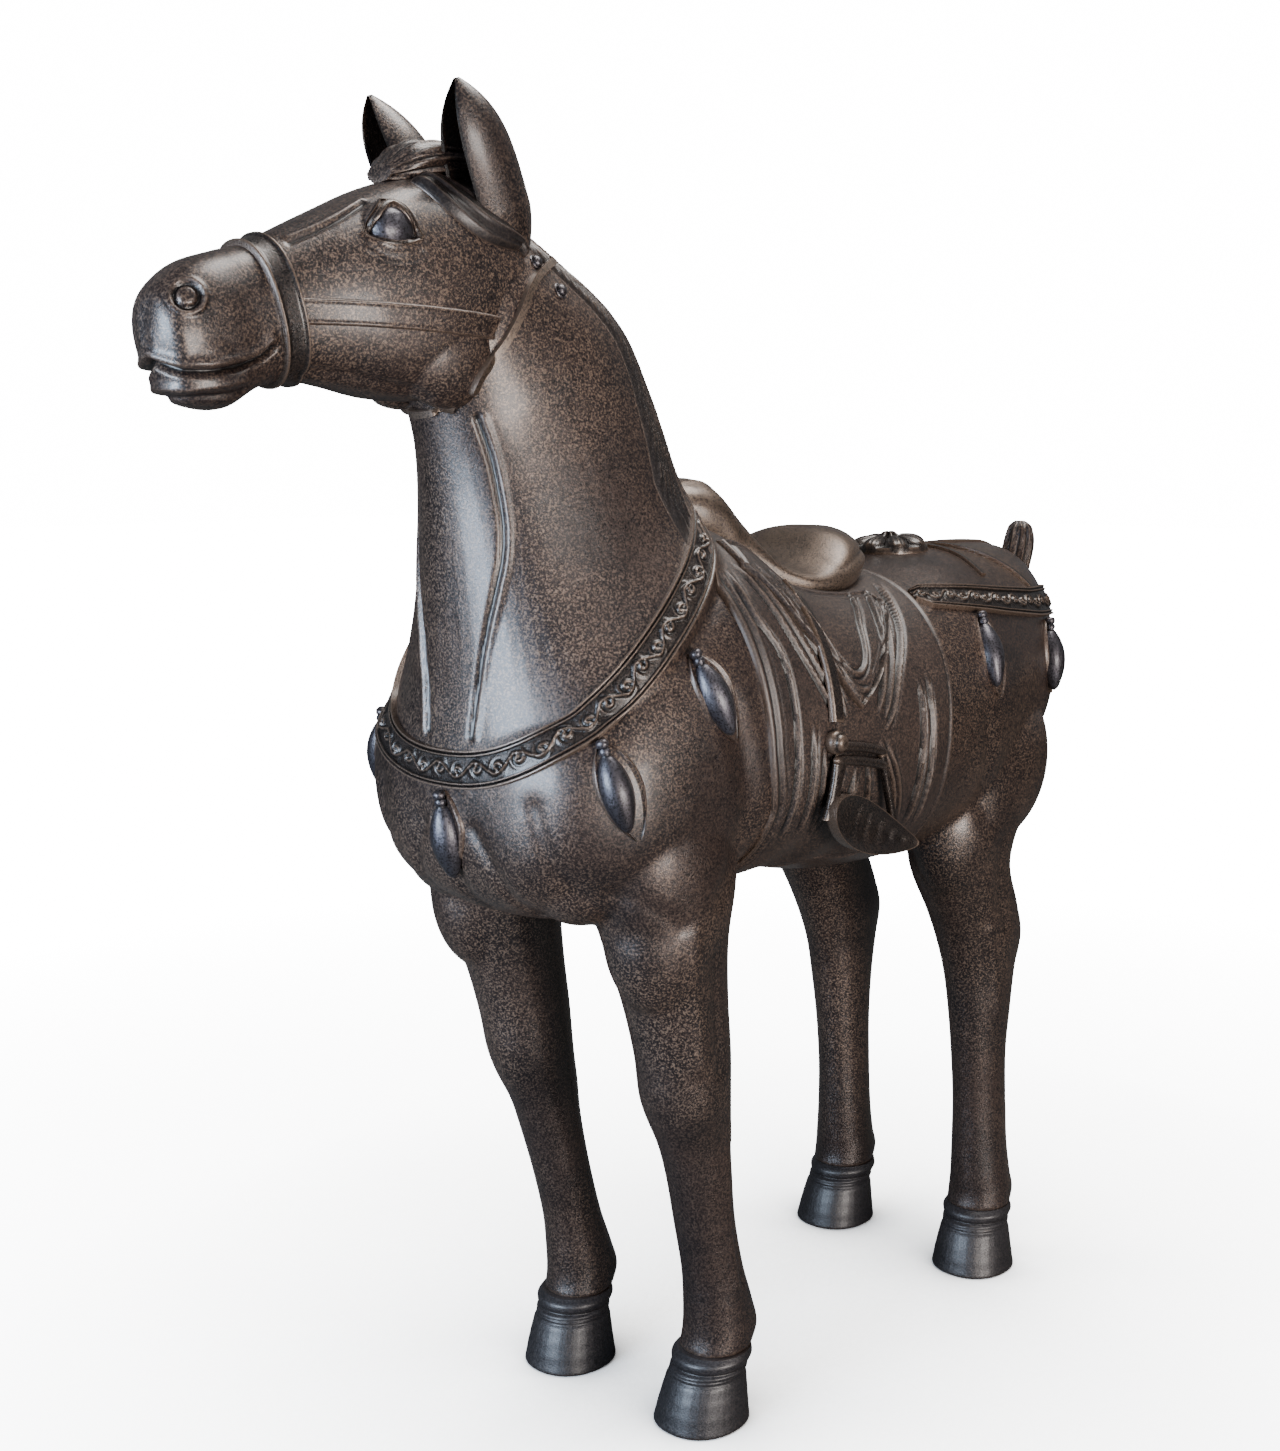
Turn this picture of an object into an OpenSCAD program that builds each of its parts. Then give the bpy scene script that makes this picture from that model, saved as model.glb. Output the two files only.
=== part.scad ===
// Life-size standing horse statue in cast bronze, with saddle, bridle and harness trappings.
// It is cast hollow in sections that are welded together round a steel armature.
// X runs forwards to the muzzle, Y to the horse's left and Z up. The origin is on the floor,
// at the centre of the four hoof anchors. All sizes are in millimetres.

/* [Overall] */
// Height at the withers, under the front of the saddle
withers_height = 1360; // [1330:5:1390]
// Length from the chest to the rump
body_length = 1426; // [1400:2:1450]
// Width of the body at the barrel
body_width = 556; // [540:2:572]
// Wall thickness of the bronze castings
casting_wall = 6; // [5:0.5:8]

/* [Stance] */
// Distance between the front and the hind hoof anchors
anchor_base = 735; // [725:1:745]
// Distance between the left and the right hoof anchors
anchor_track = 295; // [285:1:305]
// Radius of the tapped hole in each hoof
anchor_r = 7; // [5:0.5:9]
// Depth of the tapped hole in each hoof
anchor_depth = 40; // [30:1:60]
// Thickness of the plate that closes each hoof
sole_t = 12; // [8:1:16]

/* [Trappings] */
// Width of the relief band of the breast collar
collar_w = 46; // [38:1:54]
// How far the straps stand proud of the castings
strap_t = 9; // [6:1:12]
// Length of the drop of each tassel
tassel_len = 112; // [95:1:125]
// Largest radius of a tassel
tassel_r = 27; // [22:1:30]
// Thickness of the cast cloth over the barrel
cloth_t = 12; // [9:1:15]

/* [Armature] */
// Outer radius of the steel tubes in the legs
leg_tube_r = 12; // [10:1:13]
// Outer radius of the steel spine and neck tubes
spine_tube_r = 30; // [24:1:34]
// Wall of all the steel tubes
tube_wall = 4; // [3:0.5:5]

/* [Hidden] */
SIDES = ["left", "right"];
NODES = concat(
    ["head_casting", "neck_casting", "chest_casting", "barrel_casting", "rump_casting"],
    ["mane_crest", "forelock", "tail_stub", "noseband", "throatlatch", "bridle_studs"],
    ["saddle_seat", "saddle_cloth", "croup_rosette", "crupper_straps", "breeching_band"],
    ["breast_collar", "tassel_breast_centre"],
    ["armature_spine", "armature_neck_tube", "armature_front_yoke", "armature_rear_yoke"],
    [for (s = SIDES) str("ear_", s)],
    [for (s = SIDES) str("eye_", s)],
    [for (s = SIDES) str("cheek_strap_", s)],
    [for (s = SIDES) str("saddle_flap_", s)],
    [for (s = SIDES) str("stirrup_leather_", s)],
    [for (s = SIDES) str("stirrup_", s)],
    [for (s = SIDES) str("foreleg_", s)],
    [for (s = SIDES) str("hind_leg_", s)],
    [for (s = SIDES) str("front_hoof_", s)],
    [for (s = SIDES) str("hind_hoof_", s)],
    [for (s = SIDES) str("front_sole_plate_", s)],
    [for (s = SIDES) str("hind_sole_plate_", s)],
    [for (s = SIDES) str("front_leg_tube_", s)],
    [for (s = SIDES) str("hind_leg_tube_", s)],
    [for (s = SIDES) str("tassel_breast_", s)],
    [for (s = SIDES) str("tassel_shoulder_", s)],
    [for (s = SIDES) str("tassel_hip_", s)],
    [for (s = SIDES) str("tassel_rump_", s)]
);
BRONZE = [0.27, 0.21, 0.18];
BRONZE_DARK = [0.18, 0.16, 0.16];
STEEL = [0.6, 0.61, 0.63];
kx = body_length / 1426;
ky = body_width / 556;
kz = withers_height / 1360;
fit_gap = 0.5;
sides_body = 24;
sides_leg = 14;

// ---- Shapes: stations of [x, y, z, tilt, half width, reach up, reach down, squareness] ----
// A section lies in the plane of Y and of the direction tilted that many degrees forwards from +Z.

function power(c, e) = sign(c) * pow(abs(c), e);

function spline(p, q, r, s, t) = 0.5 * (2 * q + (r - p) * t
    + (2 * p - 5 * q + 4 * r - s) * t * t + (3 * q - p - 3 * r + s) * t * t * t);

// Station number u, counted from 0 and taken between the listed ones on a Catmull-Rom curve
function station(list, u) = let (
    last = len(list) - 1,
    i = min(floor(u), last - 1),
    t = u - i)
    spline(list[max(i - 1, 0)], list[i], list[i + 1], list[min(i + 2, last)], t);

function on_side(st, side) = [st[0], side * st[1], st[2], st[3], st[4], st[5], st[6], st[7]];

function section_point(st, a, grow) = let (
    e = 2 / st[7],
    across = (st[4] + grow) * power(cos(a), e),
    reach = (sin(a) > 0 ? st[5] : st[6]) + grow,
    along = reach * power(sin(a), e))
    [kx * (st[0] + along * sin(st[3])), ky * (st[1] + across), kz * (st[2] + along * cos(st[3]))];

function section(st, sides, grow = 0) =
    [for (i = [0 : sides - 1]) section_point(st, 360 * i / sides, grow)];

function sections(list, from, to, count, sides, grow = 0) =
    [for (i = [0 : count]) section(station(list, from + (to - from) * i / count), sides, grow)];

function reversed(list) = [for (i = [len(list) - 1 : -1 : 0]) list[i]];

function total(list) = list * [for (x = list) 1];

// Solid from points and triangles, turned so that every triangle faces outwards
module solid(points, triangles) {
    volume = total([for (f = triangles) cross(points[f[0]], points[f[1]]) * points[f[2]]]);
    polyhedron(points, volume < 0 ? triangles : [for (f = triangles) [f[0], f[2], f[1]]]);
}

// Solid skin over a row of rings with the same number of points. A loop joins its last ring to its first.
module skin(rings, loop = false) {
    n = len(rings[0]);
    rows = len(rings);
    steps = loop ? rows : rows - 1;
    walls = [for (r = [0 : steps - 1], i = [0 : n - 1]) let (
        a = r * n + i,
        b = r * n + (i + 1) % n,
        c = ((r + 1) % rows) * n + (i + 1) % n,
        d = ((r + 1) % rows) * n + i)
        each [[a, b, c], [a, c, d]]];
    first_cap = [for (i = [1 : n - 2]) [0, i + 1, i]];
    last_cap = [for (i = [1 : n - 2]) [(rows - 1) * n, (rows - 1) * n + i, (rows - 1) * n + i + 1]];
    solid([for (ring = rings) each ring], loop ? walls : concat(walls, first_cap, last_cap));
}

// Solid between an outer and an inner grid of points, such as cloth or a flap
module slab(outer, inner) {
    rows = len(outer);
    cols = len(outer[0]);
    n = rows * cols;
    face = [for (r = [0 : rows - 2], c = [0 : cols - 2]) let (a = r * cols + c)
        each [[a, a + 1, a + cols + 1], [a, a + cols + 1, a + cols]]];
    back = [for (f = face) [n + f[0], n + f[2], n + f[1]]];
    rim = concat(
        [for (c = [0 : cols - 2]) c],
        [for (r = [0 : rows - 2]) r * cols + cols - 1],
        [for (c = [cols - 1 : -1 : 1]) (rows - 1) * cols + c],
        [for (r = [rows - 1 : -1 : 1]) r * cols]);
    edge = [for (i = [0 : len(rim) - 1]) let (a = rim[i], b = rim[(i + 1) % len(rim)])
        each [[b, a, n + a], [b, n + a, n + b]]];
    solid([for (row = concat(outer, inner)) each row], concat(face, back, edge));
}

// Takes a shape through the mesh kernel, for castings cut against each other
module as_mesh() resize([0, 0, 0]) children();

// Tube casting that is open at both ends
module open_casting(list, from, to, count, sides) skin(concat(
    sections(list, from, to, count, sides),
    reversed(sections(list, from, to, count, sides, -casting_wall))), loop = true);

// Casting that is open at station number from and closed at station number to
module closed_casting(list, from, to, count, sides) skin(concat(
    reversed(sections(list, from, to + 0.5 * sign(from - to), count, sides, -casting_wall)),
    sections(list, from, to, count, sides)));

module solid_form(list, from, to, count, sides, grow = 0)
    skin(sections(list, from, to, count, sides, grow));

module mirrored(side) {
    if (side > 0) children();
    else mirror([0, 1, 0]) children();
}

// ---- The body ----

TRUNK = [
    [-650, 0, 1092, 0, 20, 110, 14, 2.0],
    [-641, 0, 1090, 0, 60, 142, 64, 2.0],
    [-618, 0, 1086, 0, 104, 174, 106, 2.1],
    [-568, 0, 1078, 0, 157, 203, 148, 2.2],
    [-490, 0, 1066, 0, 203, 220, 184, 2.3],
    [-380, 0, 1050, 0, 237, 235, 218, 2.3],
    [-240, 0, 1036, 0, 262, 243, 253, 2.3],
    [-100, 0, 1026, 0, 273, 230, 253, 2.3],
    [60, 0, 1022, 0, 278, 222, 240, 2.3],
    [200, 0, 1024, 0, 278, 242, 214, 2.3],
    [330, 0, 1030, 0, 276, 312, 208, 2.3],
    [450, 0, 1026, 0, 272, 300, 226, 2.4],
    [560, 0, 1010, 0, 262, 240, 212, 2.4],
    [640, 0, 1000, 0, 240, 182, 188, 2.4],
    [700, 0, 1002, 0, 200, 126, 158, 2.3],
    [728, 0, 1006, 0, 144, 84, 118, 2.2],
    [742, 0, 1010, 0, 66, 44, 60, 2.0],
    [745, 0, 1012, 0, 14, 12, 12, 2.0]
];
RUMP_SEAM = 7;
CHEST_SEAM = 10;
TRUNK_END = len(TRUNK) - 1;

module trunk_form(grow = 0) solid_form(TRUNK, 0, TRUNK_END, 34, sides_body, grow);

module rump_casting() color(BRONZE) as_mesh() difference() {
    closed_casting(TRUNK, RUMP_SEAM, 0, 10, sides_body);
    for (side = [-1, 1]) leg_form(HIND_LEG, side, -casting_wall);
}

module barrel_casting() color(BRONZE)
    open_casting(TRUNK, RUMP_SEAM, CHEST_SEAM, 6, sides_body);

module chest_casting() color(BRONZE) as_mesh() difference() {
    closed_casting(TRUNK, CHEST_SEAM, TRUNK_END, 10, sides_body);
    for (side = [-1, 1]) leg_form(FORELEG, side, -casting_wall);
    solid_form(NECK, 0, 3, 6, sides_body, -casting_wall);
}

NECK = [
    [515, 0, 1165, -50, 226, 236, 252, 2.2],
    [535, 0, 1200, -50, 232, 240, 264, 2.3],
    [530, 0, 1272, -56, 199, 200, 246, 2.3],
    [533, 0, 1352, -61.5, 163, 174, 230, 2.3],
    [554, 0, 1457, -64, 135, 166, 210, 2.2],
    [596, 0, 1550, -57.5, 112, 158, 190, 2.2],
    [690, 0, 1622, -38, 98, 130, 140, 2.1],
    [740, 0, 1660, -30, 90, 120, 130, 2.1]
];
NECK_END = 6;

module neck_form(grow = 0) solid_form(NECK, 1, NECK_END, 12, sides_body, grow);

module neck_casting() color(BRONZE) as_mesh() difference() {
    open_casting(NECK, 0.2, NECK_END, 12, sides_body);
    trunk_form();
}

HEAD = [
    [656, 0, 1668, 20, 84, 118, 108, 2.1],
    [694, 0, 1672, 15, 92, 130, 132, 2.2],
    [756, 0, 1656, 15.5, 97, 139, 137, 2.3],
    [826, 0, 1639, 18, 95, 135, 133, 2.3],
    [897, 0, 1624, 18.5, 84, 120, 117, 2.3],
    [962, 0, 1616, 19, 66, 100, 96, 2.3],
    [1012, 0, 1612, 19, 56, 82, 85, 2.3],
    [1060, 0, 1602, 18, 53, 79, 84, 2.3],
    [1107, 0, 1586, 16, 55, 80, 92, 2.4],
    [1142, 0, 1576, 14, 52, 69, 81, 2.3],
    [1165, 0, 1570, 13, 41, 51, 61, 2.2],
    [1177, 0, 1567, 13, 13, 15, 17, 2.0]
];
HEAD_END = len(HEAD) - 1;

module head_form(grow = 0) solid_form(HEAD, 0, HEAD_END, 18, sides_body, grow);

module head_casting() color(BRONZE) as_mesh() difference() {
    closed_casting(HEAD, 0, HEAD_END, 18, sides_body);
    neck_form(fit_gap);
}

// ---- Legs ----

fx = anchor_base / 2;
fy = anchor_track / 2;

FORELEG = [
    [508, 178, 1010, 90, 62, 120, 120, 2.0],
    [510, 178, 920, 90, 84, 122, 126, 2.1],
    [506, 176, 850, 90, 86, 115, 122, 2.1],
    [490, 168, 770, 90, 80, 92, 100, 2.1],
    [466, 165, 680, 90, 70, 78, 84, 2.1],
    [447, 163, 600, 90, 65, 72, 76, 2.1],
    [434, 160, 530, 90, 62, 70, 68, 2.1],
    [413, 157, 465, 90, 53, 58, 55, 2.1],
    [398, 155, 400, 90, 48, 52, 51, 2.0],
    [380, 150, 320, 90, 45, 47, 48, 2.0],
    [360, 148, 240, 90, 45, 47, 50, 2.0],
    [347, 147, 180, 90, 49, 53, 60, 2.0],
    [343, 146, 140, 90, 52, 55, 66, 2.0],
    [349, 145, 112, 90, 52, 54, 60, 2.0]
];

HIND_LEG = [
    [-330, 150, 1010, 90, 84, 150, 130, 2.0],
    [-318, 152, 900, 90, 96, 150, 114, 2.1],
    [-300, 153, 830, 90, 88, 122, 106, 2.1],
    [-286, 153, 750, 90, 76, 100, 104, 2.1],
    [-326, 152, 670, 90, 68, 92, 102, 2.1],
    [-350, 151, 610, 90, 64, 85, 104, 2.0],
    [-361, 150, 550, 90, 56, 74, 82, 2.0],
    [-367, 150, 480, 90, 51, 65, 65, 2.0],
    [-371, 149, 400, 90, 46, 57, 57, 2.0],
    [-377, 149, 310, 90, 44, 54, 55, 2.0],
    [-380, 149, 230, 90, 46, 54, 56, 2.0],
    [-383, 150, 170, 90, 50, 55, 62, 2.0],
    [-385, 150, 135, 90, 54, 56, 66, 2.0],
    [-381, 150, 112, 90, 54, 56, 60, 2.0]
];
LEG_END = len(FORELEG) - 1;

module leg_form(list, side, grow = 0) skin(
    [for (i = [0 : 13]) section(on_side(station(list, i), side), sides_leg, grow)]);

module leg_casting(list, side) color(BRONZE) as_mesh() difference() {
    rows = [for (i = [0 : 16]) on_side(station(list, i * LEG_END / 16), side)];
    skin(concat(
        [for (row = rows) section(row, sides_leg)],
        reversed([for (row = rows) section(row, sides_leg, -casting_wall)])), loop = true);
    trunk_form();
}

// Hoof sections from the pastern down to the floor, about the anchor. The y value leans the hoof
// outwards when it is multiplied by the splay of that pair of legs.
HOOF = [
    [-16, 0.2, 112, 90, 54, 56, 60, 2.0],
    [-13, 0.3, 104, 90, 56, 59, 60, 2.0],
    [-9, 0.4, 90, 90, 57, 61, 60, 2.0],
    [-7, 0.5, 82, 90, 55, 61, 58, 2.0],
    [-5, 0.6, 74, 90, 57, 63, 60, 2.1],
    [0, 0.8, 36, 90, 64, 71, 67, 2.1],
    [3, 1, 0, 90, 69, 76, 72, 2.2]
];
front_splay = -8;
hind_splay = 6;
hoof_bore_r = 38;

module hoof(x, side, splay) color(BRONZE_DARK) difference() {
    as_mesh() skin([for (st = HOOF) section([
        x / kx + st[0], side * (fy + splay * st[1]) / ky, st[2] / kz, st[3], st[4], st[5], st[6], st[7]], 20)]);
    translate([x, side * fy, -1]) cylinder(h = 120, r = hoof_bore_r, $fn = 48);
}

// Steel plate that closes the hoof, with the tapped boss for the anchor bolt
module sole_plate(x, side) color(STEEL) translate([x, side * fy, 0]) difference() {
    union() {
        cylinder(h = sole_t, r = hoof_bore_r - fit_gap, $fn = 48);
        cylinder(h = anchor_depth + 20, r = leg_tube_r + 10, $fn = 48);
    }
    translate([0, 0, -1]) cylinder(h = anchor_depth + 1, r = anchor_r, $fn = 48);
}

// ---- Hair ----

// Crest of the mane, from the withers up to the poll
MANE = [
    [362, 0, 1390, -82, 10, 6, 20, 2.0],
    [372, 0, 1430, -80, 16, 9, 30, 2.0],
    [386, 0, 1492, -76, 19, 11, 32, 2.0],
    [412, 0, 1568, -68, 20, 14, 34, 2.0],
    [462, 0, 1646, -60, 21, 15, 34, 2.0],
    [528, 0, 1718, -52, 22, 16, 34, 2.0],
    [592, 0, 1766, -42, 22, 20, 34, 2.0],
    [640, 0, 1778, -32, 16, 10, 30, 2.0]
];

module mane_crest() color(BRONZE_DARK) as_mesh() difference() {
    solid_form(MANE, 0, len(MANE) - 1, 14, 10);
    neck_form(fit_gap);
    trunk_form(fit_gap);
    head_form(fit_gap);
}

FORELOCK = [
    [676, 0, 1800, 60, 26, 10, 10, 2.0],
    [712, 0, 1806, 40, 46, 20, 24, 2.0],
    [756, 0, 1806, 20, 50, 22, 26, 2.0],
    [800, 0, 1796, 5, 42, 20, 24, 2.0],
    [832, 0, 1782, -5, 22, 9, 12, 2.0]
];

module forelock() color(BRONZE_DARK) as_mesh() difference() {
    solid_form(FORELOCK, 0, 4, 8, 14);
    head_form(fit_gap);
    neck_form(fit_gap);
    for (side = [-1, 1]) mirrored(side) ear_blank(fit_gap);
}

TAIL = [
    [-632, 0, 1130, -90, 30, 26, 26, 2.0],
    [-662, 0, 1180, -90, 31, 28, 26, 2.0],
    [-688, 0, 1232, -90, 31, 28, 26, 2.0],
    [-702, 0, 1276, -90, 30, 28, 25, 2.0],
    [-705, 0, 1304, -90, 25, 23, 21, 2.0],
    [-705, 0, 1318, -90, 12, 10, 10, 2.0]
];

module tail_stub() color(BRONZE_DARK) as_mesh() difference() {
    solid_form(TAIL, 0, 5, 8, 12);
    trunk_form(fit_gap);
}

// ---- Ears and eyes ----

ear_root = [696, 60, 1748];
ear_tip = [780, 83, 1900];

// Rolled leaf-shaped ear section, open towards the front: an outer arc and an inner one
function ear_arc(t, grow) = let (
    w = 4 + 48 * (1 - pow(t, 4)) + grow,
    turn = 24,
    c = ear_root + (ear_tip - ear_root) * t)
    [for (i = [0 : 10]) let (a = 60 + 24 * i, x = 0.95 * w * cos(a), y = 0.72 * w * sin(a))
        c + [x * cos(turn) - y * sin(turn), x * sin(turn) + y * cos(turn), -0.35 * x]];

module ear_blank(grow = 0) hull()
    for (t = [0, 0.5]) skin([ear_arc(t, grow), ear_arc(t + 0.45, grow)]);

module ear(side) color(BRONZE) mirrored(side) as_mesh() difference() {
    rows = [for (i = [0 : 10]) i / 10];
    slab([for (t = rows) ear_arc(t, 0)], [for (t = rows) ear_arc(t, -min(6, 1.5 + 12 * (1 - t)))]);
    head_form(fit_gap);
    neck_form(fit_gap);
}

eye_at = [884, 76, 1712];
eye_r = 24;

module eye(side) color(BRONZE_DARK) as_mesh() difference() {
    translate([eye_at[0] * kx, side * eye_at[1] * ky, eye_at[2] * kz]) sphere(r = eye_r, $fn = 18);
    head_form(fit_gap);
}

// ---- Straps ----

// Strap round a casting: rings along the section through station u, standing proud by t and w wide
function band_ring(list, u, du, count, lift, t) = [for (i = [0 : count - 1]) let (a = 360 * i / count)
    [section_point(station(list, u - du), a, lift), section_point(station(list, u - du), a, t),
        section_point(station(list, u + du), a, t), section_point(station(list, u + du), a, lift)]];

module noseband() color(BRONZE_DARK) skin(band_ring(HEAD, 6.1, 0.4, 40, fit_gap, strap_t - 4), loop = true);

module throatlatch() color(BRONZE_DARK) as_mesh() difference() {
    skin(band_ring(NECK, 5.86, 0.09, 40, -2, strap_t), loop = true);
    solid_form(NECK, 1, NECK_END, 16, sides_body, fit_gap);
    head_form(fit_gap);
    mane_solid();
    for (side = [-1, 1]) mirrored(side) ear_blank(fit_gap);
}

module mane_solid() solid_form(MANE, 0, len(MANE) - 1, 14, 10, fit_gap);

module cheek_strap(side) color(BRONZE_DARK) mirrored(side) {
    rows = [for (i = [0 : 9]) i / 9];
    edges = [-9, 9];
    slab(
        [for (t = rows) [for (a = edges) cheek_point(t, a, strap_t - 4)]],
        [for (t = rows) [for (a = edges) cheek_point(t, a, fit_gap)]]);
}

// From the rear of the cheek at t 0 to the noseband at t 1
function cheek_point(t, a, grow) = section_point(station(HEAD, 1.5 + 4.15 * t), a - 15 + 12 * t, grow);

stud_spots = [[636, 1702], [606, 1660]];

module bridle_studs() color(BRONZE_DARK)
    for (side = [-1, 1], p = stud_spots) as_mesh() difference() {
        translate([p[0] * kx, side * 97 * ky, p[1] * kz]) sphere(r = 9, $fn = 10);
        neck_form(fit_gap);
        head_form(fit_gap);
    }

// Band of the breast collar, lying where the neck meets the chest
COLLAR = [560, 0, 1204, -47, 218, 264, 249, 2.3];
function collar_row(a) = let (
    st = COLLAR,
    flare = 34,
    w = collar_w / 2,
    up = [cos(st[3]), 0, -sin(st[3])],
    mid = section_point(st, a, 6),
    out_xy = section_point(st, a, 106) - section_point(st, a, 6),
    out = out_xy / norm(out_xy),
    along = up * cos(flare) - out * sin(flare),
    face = out * cos(flare) + up * sin(flare))
    [mid - along * w - face * 2, mid - along * w + face * strap_t,
        mid + along * w + face * strap_t, mid + along * w - face * 2];

module collar_blank() skin([for (i = [0 : 35]) collar_row(360 * i / 36)], loop = true);

module breast_collar() color(BRONZE_DARK) as_mesh() difference() {
    collar_blank();
    trunk_form(fit_gap);
    solid_form(NECK, 0, NECK_END, 18, sides_body, fit_gap);
    saddle_blank(fit_gap);
    mane_solid();
}

module tassel_at(p, lean_x, lean_y, turn) color(BRONZE_DARK) as_mesh() difference() {
    translate([p[0] * kx, p[1] * ky, p[2] * kz]) rotate([lean_y, lean_x, turn])
        rotate_extrude($fn = 14) tassel_profile();
    trunk_form(fit_gap);
}

// Half outline of a tassel hanging from its top: a collar, a waist and a drop
module tassel_profile() polygon(concat(
    [[0, 0], [10, 0], [11, -6], [7, -12]],
    [for (i = [0 : 6]) let (t = i / 6) [
        7 + (tassel_r - 7) * sin(180 * pow(t, 0.9)) * (0.9 + 0.1 * t),
        -14 - (tassel_len - 20) * t]],
    [[4, -tassel_len + 2], [0, -tassel_len]]));

module tassel_breast_centre() tassel_at([744, 0, 996], 10, 0, 0);
module tassel_breast(side) tassel_at([666, side * 216, 1076], 14, 10 * side, 0);
module tassel_shoulder(side) tassel_at([514, side * 236, 1182], 20, 18 * side, 0);
module tassel_hip(side) tassel_at([-209, side * 230, 1183], -6, 19 * side, 0);
module tassel_rump(side) tassel_at([-462, side * 208, 1160], 0, 13 * side, 0);

// Relief band along both sides of the rump and round behind it, below the tail
module breeching_band() color(BRONZE_DARK) {
    from = 6.85;
    steps = 14;
    for (side = [-1, 1]) {
        rows = [for (i = [0 : steps]) let (u = from + (2.0 - from) * i / steps) u];
        angles = side > 0 ? [24, 33, 42] : [138, 147, 156];
        slab(
            [for (u = rows) [for (a = angles) breech_point(u, a, side, strap_t)]],
            [for (u = rows) [for (a = angles) breech_point(u, a, side, fit_gap)]]);
    }
}

// Keeps the band level as the rump narrows
function breech_point(u, a, side, grow) = let (
    st = station(TRUNK, u),
    low = side > 0 ? a - 33 : 147 - a,
    z = 1219 + (st[0] + 130) * 0.09 + low * 2.3,
    s = min(0.97, max(0.05, (z - st[2]) / (st[5] + grow))),
    e = 2 / st[7],
    up = asin(pow(s, 1 / e)))
    section_point(st, side > 0 ? up : 180 - up, grow);

// Two straps over the croup on each side, and one along its middle to the tail
hip_straps = [[5.15, 5.42, 46], [4.93, 4.3, 48]];

module crupper_straps() color(BRONZE_DARK) as_mesh() difference() {
    union() {
        for (side = [-1, 1], h = hip_straps) skin([for (i = [0 : 8]) let (
            u = h[0] + (h[1] - h[0]) * i / 8,
            a = 90 - side * (3 + (h[2] - 3) * i / 8))
            strap_ring([u - 0.05, a], [u + 0.05, a])]);
        skin([for (i = [0 : 8]) let (u = 4.7 - 2.9 * i / 8) strap_ring([u, 87.5], [u, 92.5])]);
    }
    trunk_form(fit_gap);
    tail_blank();
    rosette_blank();
}

// Ring of a strap on the trunk between two places, each a station number and an angle
function strap_ring(p, q) = [
    section_point(station(TRUNK, p[0]), p[1], -3), section_point(station(TRUNK, p[0]), p[1], strap_t - 4),
    section_point(station(TRUNK, q[0]), q[1], strap_t - 4), section_point(station(TRUNK, q[0]), q[1], -3)];

module tail_blank() solid_form(TAIL, 0, 5, 8, 12, fit_gap);

rosette_at = [-277, 0, 1290];

module rosette_blank() translate([rosette_at[0] * kx, 0, rosette_at[2] * kz])
    cylinder(h = 60, r = 72, $fn = 24, center = true);

module croup_rosette() color(BRONZE_DARK) as_mesh() difference() {
    union() {
        translate([rosette_at[0] * kx, 0, rosette_at[2] * kz]) scale([1, 1, 0.3]) sphere(r = 70, $fn = 20);
        for (i = [0 : 6]) rotate_about([rosette_at[0] * kx, 0, rosette_at[2] * kz], i * 360 / 7)
            translate([44, 0, 12]) scale([1.2, 0.9, 0.5]) sphere(r = 19, $fn = 8);
    }
    trunk_form(fit_gap);
    solid_form(CLOTH_EDGE, 0, 1, 1, sides_body, fit_gap);
    saddle_blank(fit_gap);
}

module rotate_about(c, a) translate(c) rotate([0, 0, a]) children();

CLOTH_EDGE = [TRUNK[7], TRUNK[8]];

// ---- Saddle ----

SADDLE = [
    [-92, 0, 1290, 0, 20, 14, 16, 2.0],
    [-82, 0, 1286, 0, 68, 40, 36, 2.0],
    [-54, 0, 1276, 0, 106, 54, 44, 2.2],
    [-8, 0, 1262, 0, 130, 66, 46, 2.3],
    [44, 0, 1250, 0, 140, 46, 44, 2.3],
    [98, 0, 1248, 0, 132, 28, 48, 2.3],
    [150, 0, 1264, 0, 110, 30, 60, 2.3],
    [205, 0, 1300, 0, 86, 62, 70, 2.2],
    [250, 0, 1346, 0, 78, 58, 74, 2.1],
    [290, 0, 1364, 0, 66, 44, 64, 2.1],
    [322, 0, 1372, 0, 46, 26, 44, 2.0],
    [338, 0, 1374, 0, 18, 10, 12, 2.0]
];

module saddle_blank(grow = 0) solid_form(SADDLE, 0, 11, 13, 18, grow);

module saddle_seat() color(BRONZE) as_mesh() difference() {
    saddle_blank();
    cloth_form(cloth_t + fit_gap);
    neck_form(fit_gap);
    trunk_form(cloth_t + fit_gap);
    mane_solid();
}

// Cast cloth over the barrel: it runs from low on one side over the back to the other
cloth_low = -40;
function cloth_rear(a) = 7.27 - 0.32 * pow(max(0, sin(a)), 2);
function cloth_front(a) = 10.36 + 0.5 * pow(max(0, sin(a) + 0.3) / 1.3, 0.8);
function cloth_grid(grow) = [for (i = [0 : 9])
    [for (j = [0 : 20]) let (
        a = cloth_low + (180 - 2 * cloth_low) * j / 20,
        u = cloth_rear(a) + (cloth_front(a) - cloth_rear(a)) * i / 9)
        section_point(station(TRUNK, u), a, grow)]];

module saddle_cloth() color(BRONZE) as_mesh() difference() {
    slab(cloth_grid(cloth_t), cloth_grid(fit_gap));
    neck_form(fit_gap);
    collar_blank();
    mane_solid();
    for (side = [-1, 1]) leg_form(FORELEG, side, fit_gap);
    for (side = [-1, 1]) leg_form(HIND_LEG, side, fit_gap);
}

module cloth_form(grow) solid_form(TRUNK, 6.9, 10.9, 12, sides_body, grow);

// Drape of each saddle flap, lying on the cloth. Its lower edge runs down to a point at the stirrup.
flap_rows = 8;
function flap_low(u) = 10 + 40 * pow(abs(u - 8.95) / 1.3, 1.2);
function flap_grid(side, grow) = [for (i = [0 : flap_rows]) let (u = 7.65 + 2.6 * i / flap_rows)
    [for (j = [0 : 6]) let (a = flap_low(u) + (62 - flap_low(u)) * j / 6)
        section_point(station(TRUNK, u), a, grow)]];

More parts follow.
